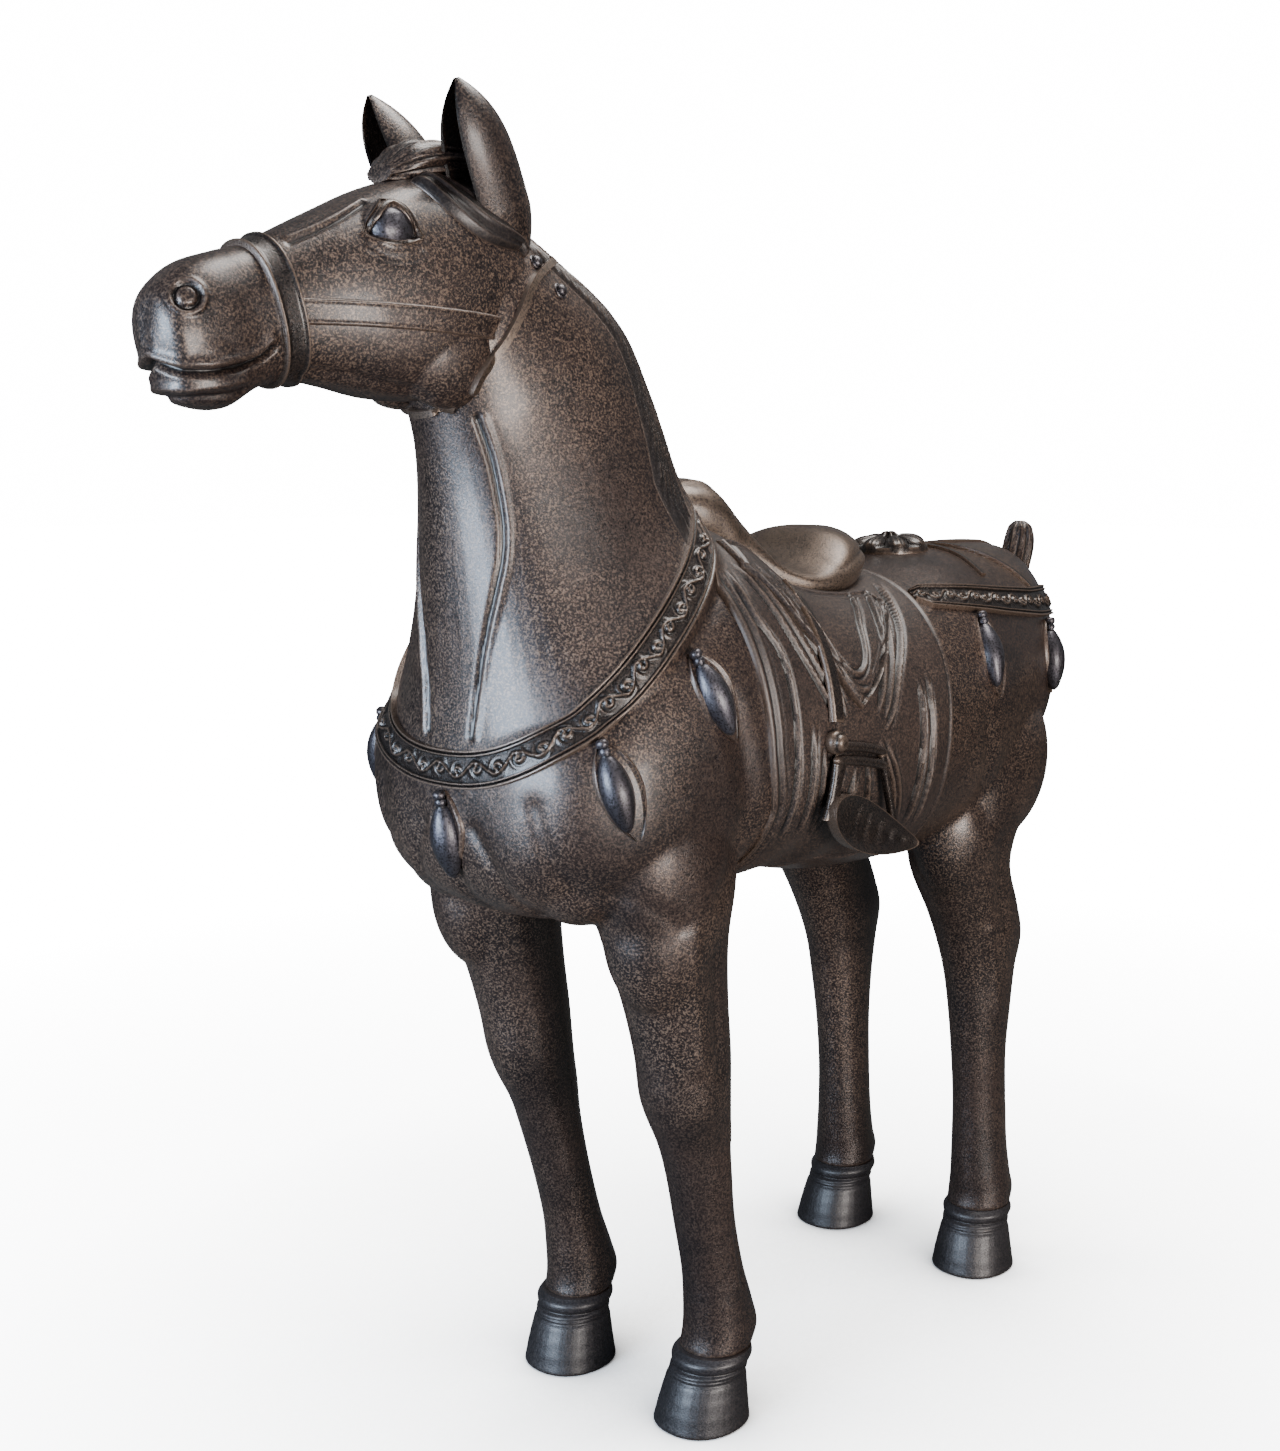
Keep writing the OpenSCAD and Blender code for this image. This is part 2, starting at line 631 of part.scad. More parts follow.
module saddle_flap(side) color(BRONZE) as_mesh() difference() {
    mirrored(side) slab(flap_grid(side, cloth_t + 9), flap_grid(side, cloth_t + fit_gap));
    saddle_blank(fit_gap);
}

module stirrup_leather(side) color(BRONZE_DARK) as_mesh() difference() {
    mirrored(side) skin([for (i = [0 : 8]) let (a = 6 + 42 * i / 8)
        [for (e = [[9.36, 9.5], [9.36, 15], [9.56, 15], [9.56, 9.5]])
            section_point(station(TRUNK, e[0]), a, cloth_t + e[1])]]);
    saddle_blank(fit_gap);
}

// Platform stirrup cast against the cloth: a top plate with a boss, two branches and a broad sloping tread.
// Each branch: its top, its foot sunk in the tread, and half its width.
stirrup_at = [212, 299.5, 1018];
stirrup_w = 132;
branches = [[[46, -3, -4], [62, -8, -78], 13], [[-54, -3, -8], [-96, -8, -126], 9]];

module stirrup(side) color(BRONZE_DARK) mirrored(side)
    translate([stirrup_at[0] * kx, stirrup_at[1] * ky, stirrup_at[2] * kz]) as_mesh() union() {
        rotate([0, -10, 0]) translate([-stirrup_w / 2, -9, -17]) cube([stirrup_w, 16, 32]);
        translate([54, 0, 20]) scale([1.2, 0.6, 1.2]) sphere(r = 15, $fn = 12);
        for (b = branches) skin([for (i = [0 : 4]) let (p = b[0] + (b[1] - b[0]) * i / 4)
            [for (q = [0 : 7]) p + [b[2] * cos(45 * q), 7 * sin(45 * q), 0]]]);
        translate([-31, -7, -115]) rotate([0, -22, 0]) scale([1, 0.25, 0.22]) sphere(r = 118, $fn = 16);
    }

// ---- Armature ----

module tube(r, h) difference() {
    cylinder(h = h, r = r, $fn = 48);
    translate([0, 0, -1]) cylinder(h = h + 2, r = r - tube_wall, $fn = 48);
}

spine_z = 1100;
spine_x = [-340, 470];
yoke_x = [-340, 470];

module armature_spine() color(STEEL)
    translate([spine_x[0], 0, spine_z]) rotate([0, 90, 0]) tube(spine_tube_r, spine_x[1] - spine_x[0]);

module yoke(x, y) color(STEEL) difference() {
    translate([x - 40, -y, spine_z - 78.5]) cube([80, 2 * y, 48]);
    for (side = [-1, 1]) translate([x, side * y * 0.7, spine_z - 100]) cylinder(h = 120, r = 9, $fn = 32);
}

module armature_front_yoke() yoke(yoke_x[1], 180);
module armature_rear_yoke() yoke(yoke_x[0], 180);

module armature_neck_tube() color(STEEL)
    translate([452, 0, spine_z + spine_tube_r + 1]) rotate([0, 14, 0]) tube(spine_tube_r - 8, 420);

// Tube from the boss in the hoof to the yoke above it, bent once at the knee or the hock
module leg_tube(x, knee, top_x, side) color(STEEL) {
    line = [[x - 10, fy, anchor_depth + 20.5], knee, [top_x, 150, spine_z - 79]];
    skin(concat(
        [for (p = line) level_ring(p, leg_tube_r, side)],
        reversed([for (p = line) level_ring(p, leg_tube_r - tube_wall, side)])), loop = true);
}

function level_ring(p, r, side) =
    [for (i = [0 : 11]) [p[0] + r * cos(30 * i), side * p[1] + r * sin(30 * i), p[2]]];

module part(name) {
    for (i = [0, 1]) {
        s = 1 - 2 * i;
        side = SIDES[i];
        if (name == str("ear_", side)) ear(s);
        if (name == str("eye_", side)) eye(s);
        if (name == str("cheek_strap_", side)) cheek_strap(s);
        if (name == str("saddle_flap_", side)) saddle_flap(s);
        if (name == str("stirrup_leather_", side)) stirrup_leather(s);
        if (name == str("stirrup_", side)) stirrup(s);
        if (name == str("foreleg_", side)) leg_casting(FORELEG, s);
        if (name == str("hind_leg_", side)) leg_casting(HIND_LEG, s);
        if (name == str("front_hoof_", side)) hoof(fx, s, front_splay);
        if (name == str("hind_hoof_", side)) hoof(-fx, s, hind_splay);
        if (name == str("front_sole_plate_", side)) sole_plate(fx, s);
        if (name == str("hind_sole_plate_", side)) sole_plate(-fx, s);
        if (name == str("front_leg_tube_", side)) leg_tube(fx, [405, 155, 460], yoke_x[1], s);
        if (name == str("hind_leg_tube_", side)) leg_tube(-fx, [-362, 150, 520], yoke_x[0], s);
        if (name == str("tassel_breast_", side)) tassel_breast(s);
        if (name == str("tassel_shoulder_", side)) tassel_shoulder(s);
        if (name == str("tassel_hip_", side)) tassel_hip(s);
        if (name == str("tassel_rump_", side)) tassel_rump(s);
    }
    if (name == "head_casting") head_casting();
    if (name == "neck_casting") neck_casting();
    if (name == "chest_casting") chest_casting();
    if (name == "barrel_casting") barrel_casting();
    if (name == "rump_casting") rump_casting();
    if (name == "mane_crest") mane_crest();
    if (name == "forelock") forelock();
    if (name == "tail_stub") tail_stub();
    if (name == "noseband") noseband();
    if (name == "throatlatch") throatlatch();
    if (name == "bridle_studs") bridle_studs();
    if (name == "saddle_seat") saddle_seat();
    if (name == "saddle_cloth") saddle_cloth();
    if (name == "croup_rosette") croup_rosette();
    if (name == "crupper_straps") crupper_straps();
    if (name == "breeching_band") breeching_band();
    if (name == "breast_collar") breast_collar();
    if (name == "tassel_breast_centre") tassel_breast_centre();
    if (name == "armature_spine") armature_spine();
    if (name == "armature_neck_tube") armature_neck_tube();
    if (name == "armature_front_yoke") armature_front_yoke();
    if (name == "armature_rear_yoke") armature_rear_yoke();
}

for (name = NODES) part(name);
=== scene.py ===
"""Looks of the life-size bronze horse: sculpted castings, trappings in relief, patina, floor and light.

The lengths in the tables are millimetres and every other length is metres, in the frame of the CAD
model: X forwards, Y to the horse's left, Z up. Both sides of the horse are alike, so shapes are given
for the left side and mirrored.
"""

import math

import bmesh
import bpy
import numpy as np
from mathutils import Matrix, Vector
from mathutils.bvhtree import BVHTree


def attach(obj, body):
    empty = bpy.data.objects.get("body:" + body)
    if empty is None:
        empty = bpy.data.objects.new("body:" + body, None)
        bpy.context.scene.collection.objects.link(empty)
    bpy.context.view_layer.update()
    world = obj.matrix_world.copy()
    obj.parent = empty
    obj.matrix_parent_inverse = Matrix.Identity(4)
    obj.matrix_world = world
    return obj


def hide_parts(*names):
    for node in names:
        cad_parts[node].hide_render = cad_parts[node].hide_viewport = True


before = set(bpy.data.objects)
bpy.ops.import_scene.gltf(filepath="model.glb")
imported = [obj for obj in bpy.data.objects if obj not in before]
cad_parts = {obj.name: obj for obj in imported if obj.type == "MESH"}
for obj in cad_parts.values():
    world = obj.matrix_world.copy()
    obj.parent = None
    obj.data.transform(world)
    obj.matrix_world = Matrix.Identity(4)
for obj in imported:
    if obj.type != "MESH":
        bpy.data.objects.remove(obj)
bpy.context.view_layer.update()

MM = 0.001
SIDES = {"left": 1, "right": -1}

# ---- Stations: x, y, z, tilt, half width, reach up, reach down, squareness ----

TRUNK = np.array([
    [-650, 0, 1092, 0, 20, 110, 14, 2.0],
    [-641, 0, 1090, 0, 60, 142, 64, 2.0],
    [-618, 0, 1086, 0, 104, 174, 106, 2.1],
    [-568, 0, 1078, 0, 157, 203, 148, 2.2],
    [-490, 0, 1066, 0, 203, 220, 184, 2.3],
    [-380, 0, 1050, 0, 237, 235, 218, 2.3],
    [-240, 0, 1036, 0, 262, 243, 253, 2.3],
    [-100, 0, 1026, 0, 273, 230, 253, 2.3],
    [60, 0, 1022, 0, 278, 222, 240, 2.3],
    [200, 0, 1024, 0, 278, 242, 214, 2.3],
    [330, 0, 1030, 0, 276, 312, 208, 2.3],
    [450, 0, 1026, 0, 272, 300, 226, 2.4],
    [560, 0, 1010, 0, 262, 240, 212, 2.4],
    [640, 0, 1000, 0, 240, 182, 188, 2.4],
    [700, 0, 1002, 0, 200, 126, 158, 2.3],
    [728, 0, 1006, 0, 144, 84, 118, 2.2],
    [742, 0, 1010, 0, 66, 44, 60, 2.0],
    [745, 0, 1012, 0, 14, 12, 12, 2.0],
])

NECK = np.array([
    [515, 0, 1165, -50, 226, 236, 252, 2.2],
    [535, 0, 1200, -50, 232, 240, 264, 2.3],
    [530, 0, 1272, -56, 199, 200, 246, 2.3],
    [533, 0, 1352, -61.5, 163, 174, 230, 2.3],
    [554, 0, 1457, -64, 135, 166, 210, 2.2],
    [596, 0, 1550, -57.5, 112, 158, 190, 2.2],
    [690, 0, 1622, -38, 98, 130, 140, 2.1],
    [740, 0, 1660, -30, 90, 120, 130, 2.1],
])

HEAD = np.array([
    [656, 0, 1668, 20, 84, 118, 108, 2.1],
    [694, 0, 1672, 15, 92, 130, 132, 2.2],
    [756, 0, 1656, 15.5, 97, 139, 137, 2.3],
    [826, 0, 1639, 18, 95, 135, 133, 2.3],
    [897, 0, 1624, 18.5, 84, 120, 117, 2.3],
    [962, 0, 1616, 19, 66, 100, 96, 2.3],
    [1012, 0, 1612, 19, 56, 82, 85, 2.3],
    [1060, 0, 1602, 18, 53, 79, 84, 2.3],
    [1107, 0, 1586, 16, 55, 80, 92, 2.4],
    [1142, 0, 1576, 14, 52, 69, 81, 2.3],
    [1165, 0, 1570, 13, 41, 51, 61, 2.2],
    [1177, 0, 1567, 13, 13, 15, 17, 2.0],
])

FORELEG = np.array([
    [508, 178, 1010, 90, 62, 120, 120, 2.0],
    [510, 178, 920, 90, 84, 122, 126, 2.1],
    [506, 176, 850, 90, 86, 115, 122, 2.1],
    [490, 168, 770, 90, 80, 92, 100, 2.1],
    [466, 165, 680, 90, 70, 78, 84, 2.1],
    [447, 163, 600, 90, 65, 72, 76, 2.1],
    [434, 160, 530, 90, 62, 70, 68, 2.1],
    [413, 157, 465, 90, 53, 58, 55, 2.1],
    [398, 155, 400, 90, 48, 52, 51, 2.0],
    [380, 150, 320, 90, 45, 47, 48, 2.0],
    [360, 148, 240, 90, 45, 47, 50, 2.0],
    [347, 147, 180, 90, 49, 53, 60, 2.0],
    [343, 146, 140, 90, 52, 55, 66, 2.0],
    [349, 145, 112, 90, 52, 54, 60, 2.0],
])

HIND_LEG = np.array([
    [-330, 150, 1010, 90, 84, 150, 130, 2.0],
    [-318, 152, 900, 90, 96, 150, 114, 2.1],
    [-300, 153, 830, 90, 88, 122, 106, 2.1],
    [-286, 153, 750, 90, 76, 100, 104, 2.1],
    [-326, 152, 670, 90, 68, 92, 102, 2.1],
    [-350, 151, 610, 90, 64, 85, 104, 2.0],
    [-361, 150, 550, 90, 56, 74, 82, 2.0],
    [-367, 150, 480, 90, 51, 65, 65, 2.0],
    [-371, 149, 400, 90, 46, 57, 57, 2.0],
    [-377, 149, 310, 90, 44, 54, 55, 2.0],
    [-380, 149, 230, 90, 46, 54, 56, 2.0],
    [-383, 150, 170, 90, 50, 55, 62, 2.0],
    [-385, 150, 135, 90, 54, 56, 66, 2.0],
    [-381, 150, 112, 90, 54, 56, 60, 2.0],
])

HOOF = np.array([
    [-16, 0.2, 112, 90, 54, 56, 60, 2.0],
    [-13, 0.3, 104, 90, 56, 59, 60, 2.0],
    [-9, 0.4, 90, 90, 57, 61, 60, 2.0],
    [-7, 0.5, 82, 90, 55, 61, 58, 2.0],
    [-5, 0.6, 74, 90, 57, 63, 60, 2.1],
    [0, 0.8, 36, 90, 64, 71, 67, 2.1],
    [3, 1, 0, 90, 69, 76, 72, 2.2],
])

TAIL = np.array([
    [-632, 0, 1130, -90, 30, 26, 26, 2.0],
    [-662, 0, 1180, -90, 31, 28, 26, 2.0],
    [-688, 0, 1232, -90, 31, 28, 26, 2.0],
    [-702, 0, 1276, -90, 30, 28, 25, 2.0],
    [-705, 0, 1304, -90, 25, 23, 21, 2.0],
    [-705, 0, 1318, -90, 12, 10, 10, 2.0],
])

FORELOCK = np.array([
    [676, 0, 1800, 60, 26, 10, 10, 2.0],
    [712, 0, 1806, 40, 46, 20, 24, 2.0],
    [756, 0, 1806, 20, 50, 22, 26, 2.0],
    [800, 0, 1796, 5, 42, 20, 24, 2.0],
    [832, 0, 1782, -5, 22, 9, 12, 2.0],
])

SADDLE = np.array([
    [-92, 0, 1290, 0, 20, 14, 16, 2.0],
    [-82, 0, 1286, 0, 68, 40, 36, 2.0],
    [-54, 0, 1276, 0, 106, 54, 44, 2.2],
    [-8, 0, 1262, 0, 130, 66, 46, 2.3],
    [44, 0, 1250, 0, 140, 46, 44, 2.3],
    [98, 0, 1248, 0, 132, 28, 48, 2.3],
    [150, 0, 1264, 0, 110, 30, 60, 2.3],
    [205, 0, 1300, 0, 86, 62, 70, 2.2],
    [250, 0, 1346, 0, 78, 58, 74, 2.1],
    [290, 0, 1364, 0, 66, 44, 64, 2.1],
    [322, 0, 1372, 0, 46, 26, 44, 2.0],
    [338, 0, 1374, 0, 18, 10, 12, 2.0],
])

COLLAR = np.array([[560, 0, 1204, -47, 218, 264, 249, 2.3]] * 2)



# ---- Shapes ----

def station(table, u):
    """Rows of a table at the station numbers u, on a Catmull-Rom curve through its rows."""
    last = len(table) - 1
    i = np.clip(np.floor(u).astype(int), 0, last - 1)
    t = (u - i)[:, None]
    p, q, r, s = (table[np.clip(i + k, 0, last)] for k in (-1, 0, 1, 2))
    return 0.5 * (2 * q + (r - p) * t + (2 * p - 5 * q + 4 * r - s) * t**2 + (3 * q - p - 3 * r + s) * t**3)


def power(c, e):
    return np.sign(c) * np.abs(c) ** e


def loft(table, u, degrees, grow=0.0, side=1):
    """Points of the skin over a table, at station numbers u and angles round it, standing proud by grow mm."""
    u, a, grow = np.broadcast_arrays(np.asarray(u, float), np.radians(degrees), grow)
    st = station(table, u.ravel()).reshape(*u.shape, -1)
    e = 2 / st[..., 7]
    across = (st[..., 4] + grow) * power(np.cos(a), e)
    along = (np.where(np.sin(a) > 0, st[..., 5], st[..., 6]) + grow) * power(np.sin(a), e)
    tilt = np.radians(st[..., 3])
    x = st[..., 0] + along * np.sin(tilt)
    z = st[..., 2] + along * np.cos(tilt)
    return np.stack([x, side * (st[..., 1] + across), z], -1) * MM


def grid_of(table, rows, sides, start=0.0, end=None, side=1):
    u = np.linspace(start, len(table) - 1 if end is None else end, rows)[:, None]
    return loft(table, u, np.arange(sides) * 360 / sides, side=side)


def shell(grid, wrap=True, loop=False, caps=True):
    """Points and faces over a grid. wrap joins its last column to its first, and loop its last row to its first."""
    rows, cols = grid.shape[:2]
    index = np.arange(rows * cols).reshape(rows, cols)
    if wrap:
        index = np.concatenate([index, index[:, :1]], 1)
    if loop:
        index = np.concatenate([index, index[:1]], 0)
    quads = np.stack([index[:-1, :-1], index[:-1, 1:], index[1:, 1:], index[1:, :-1]], -1)
    faces = quads.reshape(-1, 4).tolist()
    if wrap and caps and not loop:
        faces += [index[0, :cols][::-1].tolist(), index[-1, :cols].tolist()]
    return grid.reshape(-1, 3), faces


def slab(outer, inner):
    """Closed points and faces between two grids of the same size."""
    rows, cols = outer.shape[:2]
    top = np.arange(rows * cols).reshape(rows, cols)
    low = top + rows * cols
    faces = []
    for index in (top, low[:, ::-1]):
        quads = np.stack([index[:-1, :-1], index[:-1, 1:], index[1:, 1:], index[1:, :-1]], -1)
        faces += quads.reshape(-1, 4).tolist()
    rim = np.concatenate([top[0, :-1], top[:-1, -1], top[-1, :0:-1], top[:0:-1, 0]])
    after = np.roll(rim, -1)
    n = rows * cols
    faces += np.stack([after, rim, rim + n, after + n], -1).tolist()
    return np.concatenate([outer.reshape(-1, 3), inner.reshape(-1, 3)]), faces


def ball(centre, radii, rows=24, sides=32):
    """Closed ellipsoid, sizes in mm."""
    lat = np.radians(np.linspace(-89.5, 89.5, rows))[:, None]
    lon = np.radians(np.arange(sides) * 360 / sides)
    unit = np.stack([np.cos(lat) * np.cos(lon), np.cos(lat) * np.sin(lon), np.sin(lat) + 0 * lon], -1)
    return shell((np.array(centre) + unit * np.array(radii)) * MM)


def both(centre):
    """A place on the left side and the same place on the right."""
    x, y, z = centre
    return [(x, y, z), (x, -y, z)]


def joined(*shapes):
    """One set of points and faces from several."""
    points, faces, n = [], [], 0
    for p, f in shapes:
        points.append(p)
        faces += [[i + n for i in face] for face in f]
        n += len(p)
    return np.concatenate(points), faces


def curve(path, step, loop=False):
    """Points about step metres apart on a smooth line through a path."""
    p = np.array(path, float)
    if loop:
        p = np.concatenate([p[-2:], p, p[:3]])
        u = np.linspace(2, len(path) + 2, 40 * len(path) + 1)
    else:
        u = np.linspace(0, len(p) - 1, 40 * (len(p) - 1) + 1)
    line = station(p, u)
    s = np.concatenate([[0], np.cumsum(np.linalg.norm(np.diff(line, axis=0), axis=1))])
    count = max(3, round(s[-1] / step))
    at = np.arange(count) * s[-1] / count if loop else np.linspace(0, s[-1], count)
    return np.stack([np.interp(at, s, line[:, k]) for k in range(3)], 1)


def averaged(values, rounds, loop=False):
    """A row of vectors, smoothed along the row."""
    for _ in range(rounds):
        if loop:
            values = (np.roll(values, 1, 0) + 2 * values + np.roll(values, -1, 0)) / 4
        else:
            inner = (values[:-2] + 2 * values[1:-1] + values[2:]) / 4
            values = np.concatenate([values[:1], inner, values[-1:]])
    return values


def unit(vectors):
    return vectors / np.maximum(np.linalg.norm(vectors, axis=-1, keepdims=True), 1e-9)


def new_mesh(name, points, faces):
    mesh = bpy.data.meshes.new(name)
    mesh.from_pydata(points.tolist(), [], faces)
    mesh.update()
    return mesh


def distance(points, line):
    """Distance of points from a line, with the horse's right side folded onto its left."""
    p = points * [1, 0, 1] + np.abs(points) * [0, 1, 0]
    best = np.full(len(p), np.inf)
    for a, b in zip(line[:-1], line[1:]):
        d = b - a
        t = np.clip((p - a) @ d / max(d @ d, 1e-12), 0, 1)
        best = np.minimum(best, np.linalg.norm(p - a - t[:, None] * d, axis=1))
    return best


class Skin:
    """A surface that bands, hair and folds are laid on."""

    def __init__(self, points, faces, normals):
        self.tree = BVHTree.FromPolygons(points.tolist(), faces)
        self.points = points
        self.faces = faces
        self.normals = normals

    def normal(self, face):
        return self.normals[self.faces[face]].mean(0)

    def snap(self, points):
        """The nearest places on the surface, and the normals there."""
        shape = points.shape
        places, normals = [], []
        for p in points.reshape(-1, 3):
            place, _, face, _ = self.tree.find_nearest(p)
            places.append(place)
            normals.append(self.normal(face))
        return np.array(places).reshape(shape), unit(np.array(normals)).reshape(shape)

    def cast(self, points, outward, reach):
        """Where lines from outside the surface, down towards points, first meet it, or else the points."""
        shape = points.shape
        places = []
        for p, n in zip(points.reshape(-1, 3), outward.reshape(-1, 3)):
            start = Vector(p + n * reach)
            hit = self.tree.ray_cast(start, Vector(-n), 2 * reach)
            places.append(p if hit[0] is None else hit[0])
        return np.array(places).reshape(shape)


def together(one, other):
    """Two skins as one."""
    points, faces = joined((one.points, one.faces), (other.points, other.faces))
    return Skin(points, faces, np.concatenate([one.normals, other.normals]))


class Clay:
    """A closed surface that is smoothed and then worked with ridges, grooves and bumps."""

    def __init__(self, shape, voxel):
        blank = bpy.data.objects.new("blank", new_mesh("blank", *shape))
        bpy.context.scene.collection.objects.link(blank)
        remesh = blank.modifiers.new("remesh", "REMESH")
        remesh.mode = "VOXEL"
        remesh.voxel_size = voxel
        graph = bpy.context.evaluated_depsgraph_get()
        self.mesh = bpy.data.meshes.new_from_object(blank.evaluated_get(graph))
        bpy.data.objects.remove(blank)
        count = len(self.mesh.vertices)
        self.points = np.zeros(count * 3)
        self.mesh.vertices.foreach_get("co", self.points)
        self.points = self.points.reshape(-1, 3)
        edges = np.zeros(len(self.mesh.edges) * 2, int)
        self.mesh.edges.foreach_get("vertices", edges)
        self.edges = edges.reshape(-1, 2)
        self.degree = np.bincount(self.edges.ravel(), minlength=count)
        self.faces = [list(p.vertices) for p in self.mesh.polygons]
        self.lift = np.zeros(count)

    def spread(self, share):
        """Moves each point by a share of the way to the middle of its neighbours."""
        a, b = self.edges.T
        ends = np.concatenate([a, b])
        others = np.concatenate([b, a])
        count = len(self.points)
        middle = np.stack([np.bincount(ends, self.points[others, k], count) for k in range(3)], 1)
        self.points = self.points + share * (middle / self.degree[:, None] - self.points)

    def smooth(self, rounds, where=None):
        """Smooths without shrinking, all over or by the weights in where."""
        weight = 1.0 if where is None else where[:, None]
        for _ in range(rounds):
            self.spread(0.62 * weight)
            self.spread(-0.63 * weight)

    def relax(self, rounds, where):
        """Smooths and lets creases fill, by the weights in where."""
        for _ in range(rounds):
            self.spread(0.6 * where[:, None])

    def store(self):
        self.mesh.vertices.foreach_set("co", self.points.ravel())
        self.mesh.update()
        normals = np.zeros(len(self.points) * 3)
        self.mesh.vertex_normals.foreach_get("vector", normals)
        self.normals = normals.reshape(-1, 3)

    def skin(self):
        self.store()
        return Skin(self.points, self.faces, self.normals)

    def ready(self):
        self.surface = self.skin()

    def trace(self, path, width, height, sharp=False):
        """A ridge, or with a negative height a groove, along a path in mm laid on the surface."""
        line = self.surface.snap(curve(np.array(path) * MM, 0.008))[0]
        width *= MM
        near = np.all(
            (self.points * [1, 0, 1] + np.abs(self.points) * [0, 1, 0] > line.min(0) - 3 * width)
            & (self.points * [1, 0, 1] + np.abs(self.points) * [0, 1, 0] < line.max(0) + 3 * width), 1)
        d = distance(self.points[near], line) / width
        profile = np.maximum(0, 1 - d) if sharp else np.exp(-d * d)
        self.lift[near] += height * MM * profile

    def bump(self, centre, radii, height, edge=2.0):
        """A mound or a hollow about a place, radii in mm; edge above 2 makes it flatter with a steeper side."""
        p = self.points * [1, 0, 1] + np.abs(self.points) * [0, 1, 0]
        d = np.linalg.norm((p - np.array(centre) * MM) / (np.array(radii) * MM), axis=1)
        self.lift += height * MM * np.exp(-(d**edge))

    def about(self, centre, outward):
        """How far each point lies ahead, up and out from a place on the side of the horse, in mm."""
        p = (self.points * [1, 0, 1] + np.abs(self.points) * [0, 1, 0]) / MM - np.array(centre)
        out = unit(np.array(outward, float))
        ahead = unit(np.cross(out, [0, 0, 1]))
        return p @ ahead, p @ np.cross(ahead, out), p @ out

    def press(self, height):
        """Lifts each point by its own height in mm."""
        self.lift += height * MM

    def work(self):
        """Applies the ridges, grooves and bumps made so far."""
        self.store()
        self.points = self.points + self.normals * self.lift[:, None]
        self.lift[:] = 0


# ---- Materials ----

class Nodes:
    """Short way to write a material's nodes."""

    def __init__(self, material):
        self.tree = material.node_tree

    def add(self, kind, **inputs):
        node = self.tree.nodes.new("ShaderNode" + kind)
        for key, value in inputs.items():
            self.set(node, key, value)
        return node

    def set(self, node, key, value):
        socket = node.inputs[key.replace("_", " ")] if not key.startswith("i") else node.inputs[int(key[1:])]
        if isinstance(value, bpy.types.NodeSocket):
            self.tree.links.new(value, socket)
        else:
            socket.default_value = value

    def noise(self, where, scale, detail=4.0, rough=0.55):
        node = self.add("TexNoise", Vector=where, Scale=scale, Detail=detail, Roughness=rough)
        return node.outputs["Fac"]

    def ramp(self, value, low, high, start=0.0, end=1.0):
        node = self.add("MapRange", Value=value, From_Min=low, From_Max=high, To_Min=start, To_Max=end)
        node.interpolation_type = "SMOOTHSTEP"
        return node.outputs[0]

    def math(self, kind, a, b):
        node = self.add("Math", i0=a, i1=b)
        node.operation = kind
        return node.outputs[0]

    def mix(self, factor, a, b):
        node = self.tree.nodes.new("ShaderNodeMix")
        node.data_type = "RGBA"
        for socket, value in ((0, factor), (6, a), (7, b)):
            if isinstance(value, bpy.types.NodeSocket):
                self.tree.links.new(value, node.inputs[socket])
            else:
                node.inputs[socket].default_value = value
        return node.outputs[2]


def bronze(name, dark, warm, speckle, rub, rough, shine):
    """Patinated bronze: a dark umber skin, warmer patches, gold rubbed through it in specks, and painted shade, near
    black, in hollows and grooves.
    """
    material = bpy.data.materials.new(name)
    material.use_nodes = True
    n = Nodes(material)
    place = n.add("TexCoord").outputs["Object"]
    height = n.add("SeparateXYZ", Vector=place).outputs[2]
    point = n.add("NewGeometry").outputs["Pointiness"]
    patch = n.noise(place, 3.2, 4.0)
    cloud = n.noise(place, 9.0, 6.0, 0.6)
    grain = n.noise(place, 330.0, 3.0, 0.7)
    fine = n.noise(place, 700.0, 2.0, 0.6)
    patches = n.math("MULTIPLY", n.ramp(patch, 0.36, 0.6, 0.25, 1.0), n.ramp(height, 0.05, 0.4, 0.4, 1.0))
    specks = n.ramp(grain, 0.5, 0.6)
    rubbed = n.ramp(point, 0.512, 0.56)
    colour = n.mix(n.ramp(cloud, 0.34, 0.66), dark, warm)
    colour = n.mix(n.math("MULTIPLY", specks, n.math("MULTIPLY", patches, speckle)), colour, GOLD)
    colour = n.mix(n.ramp(grain, 0.5, 0.4, 0.0, 0.75), colour, (0.008, 0.006, 0.006, 1))
    colour = n.mix(n.math("MULTIPLY", rubbed, rub), colour, GOLD)
    # painted shade: hollows, grooves and creases, found by pointiness, are darkened to near black
    colour = n.mix(n.ramp(point, 0.496, 0.46, 0.0, 0.9), colour, (0.006, 0.005, 0.005, 1))
    shader = n.tree.nodes["Principled BSDF"]
    n.set(shader, "Base_Color", colour)
    n.set(shader, "Metallic", shine)
    n.set(shader, "Roughness", n.ramp(grain, 0.3, 0.7, rough - 0.05, rough + 0.07))
    n.set(shader, "Specular_IOR_Level", 0.6)
    n.set(shader, "Coat_Weight", 0.4)
    n.set(shader, "Coat_Roughness", rough - 0.08)
    bump = n.add("Bump", Strength=0.6, Distance=0.0012, Height=n.math("ADD", grain, n.math("MULTIPLY", fine, 0.5)))
    waves = n.add("Bump", Strength=0.35, Distance=0.004, Height=n.noise(place, 26.0, 2.0), Normal=bump.outputs[0])
    n.set(shader, "Normal", waves.outputs[0])
    return material


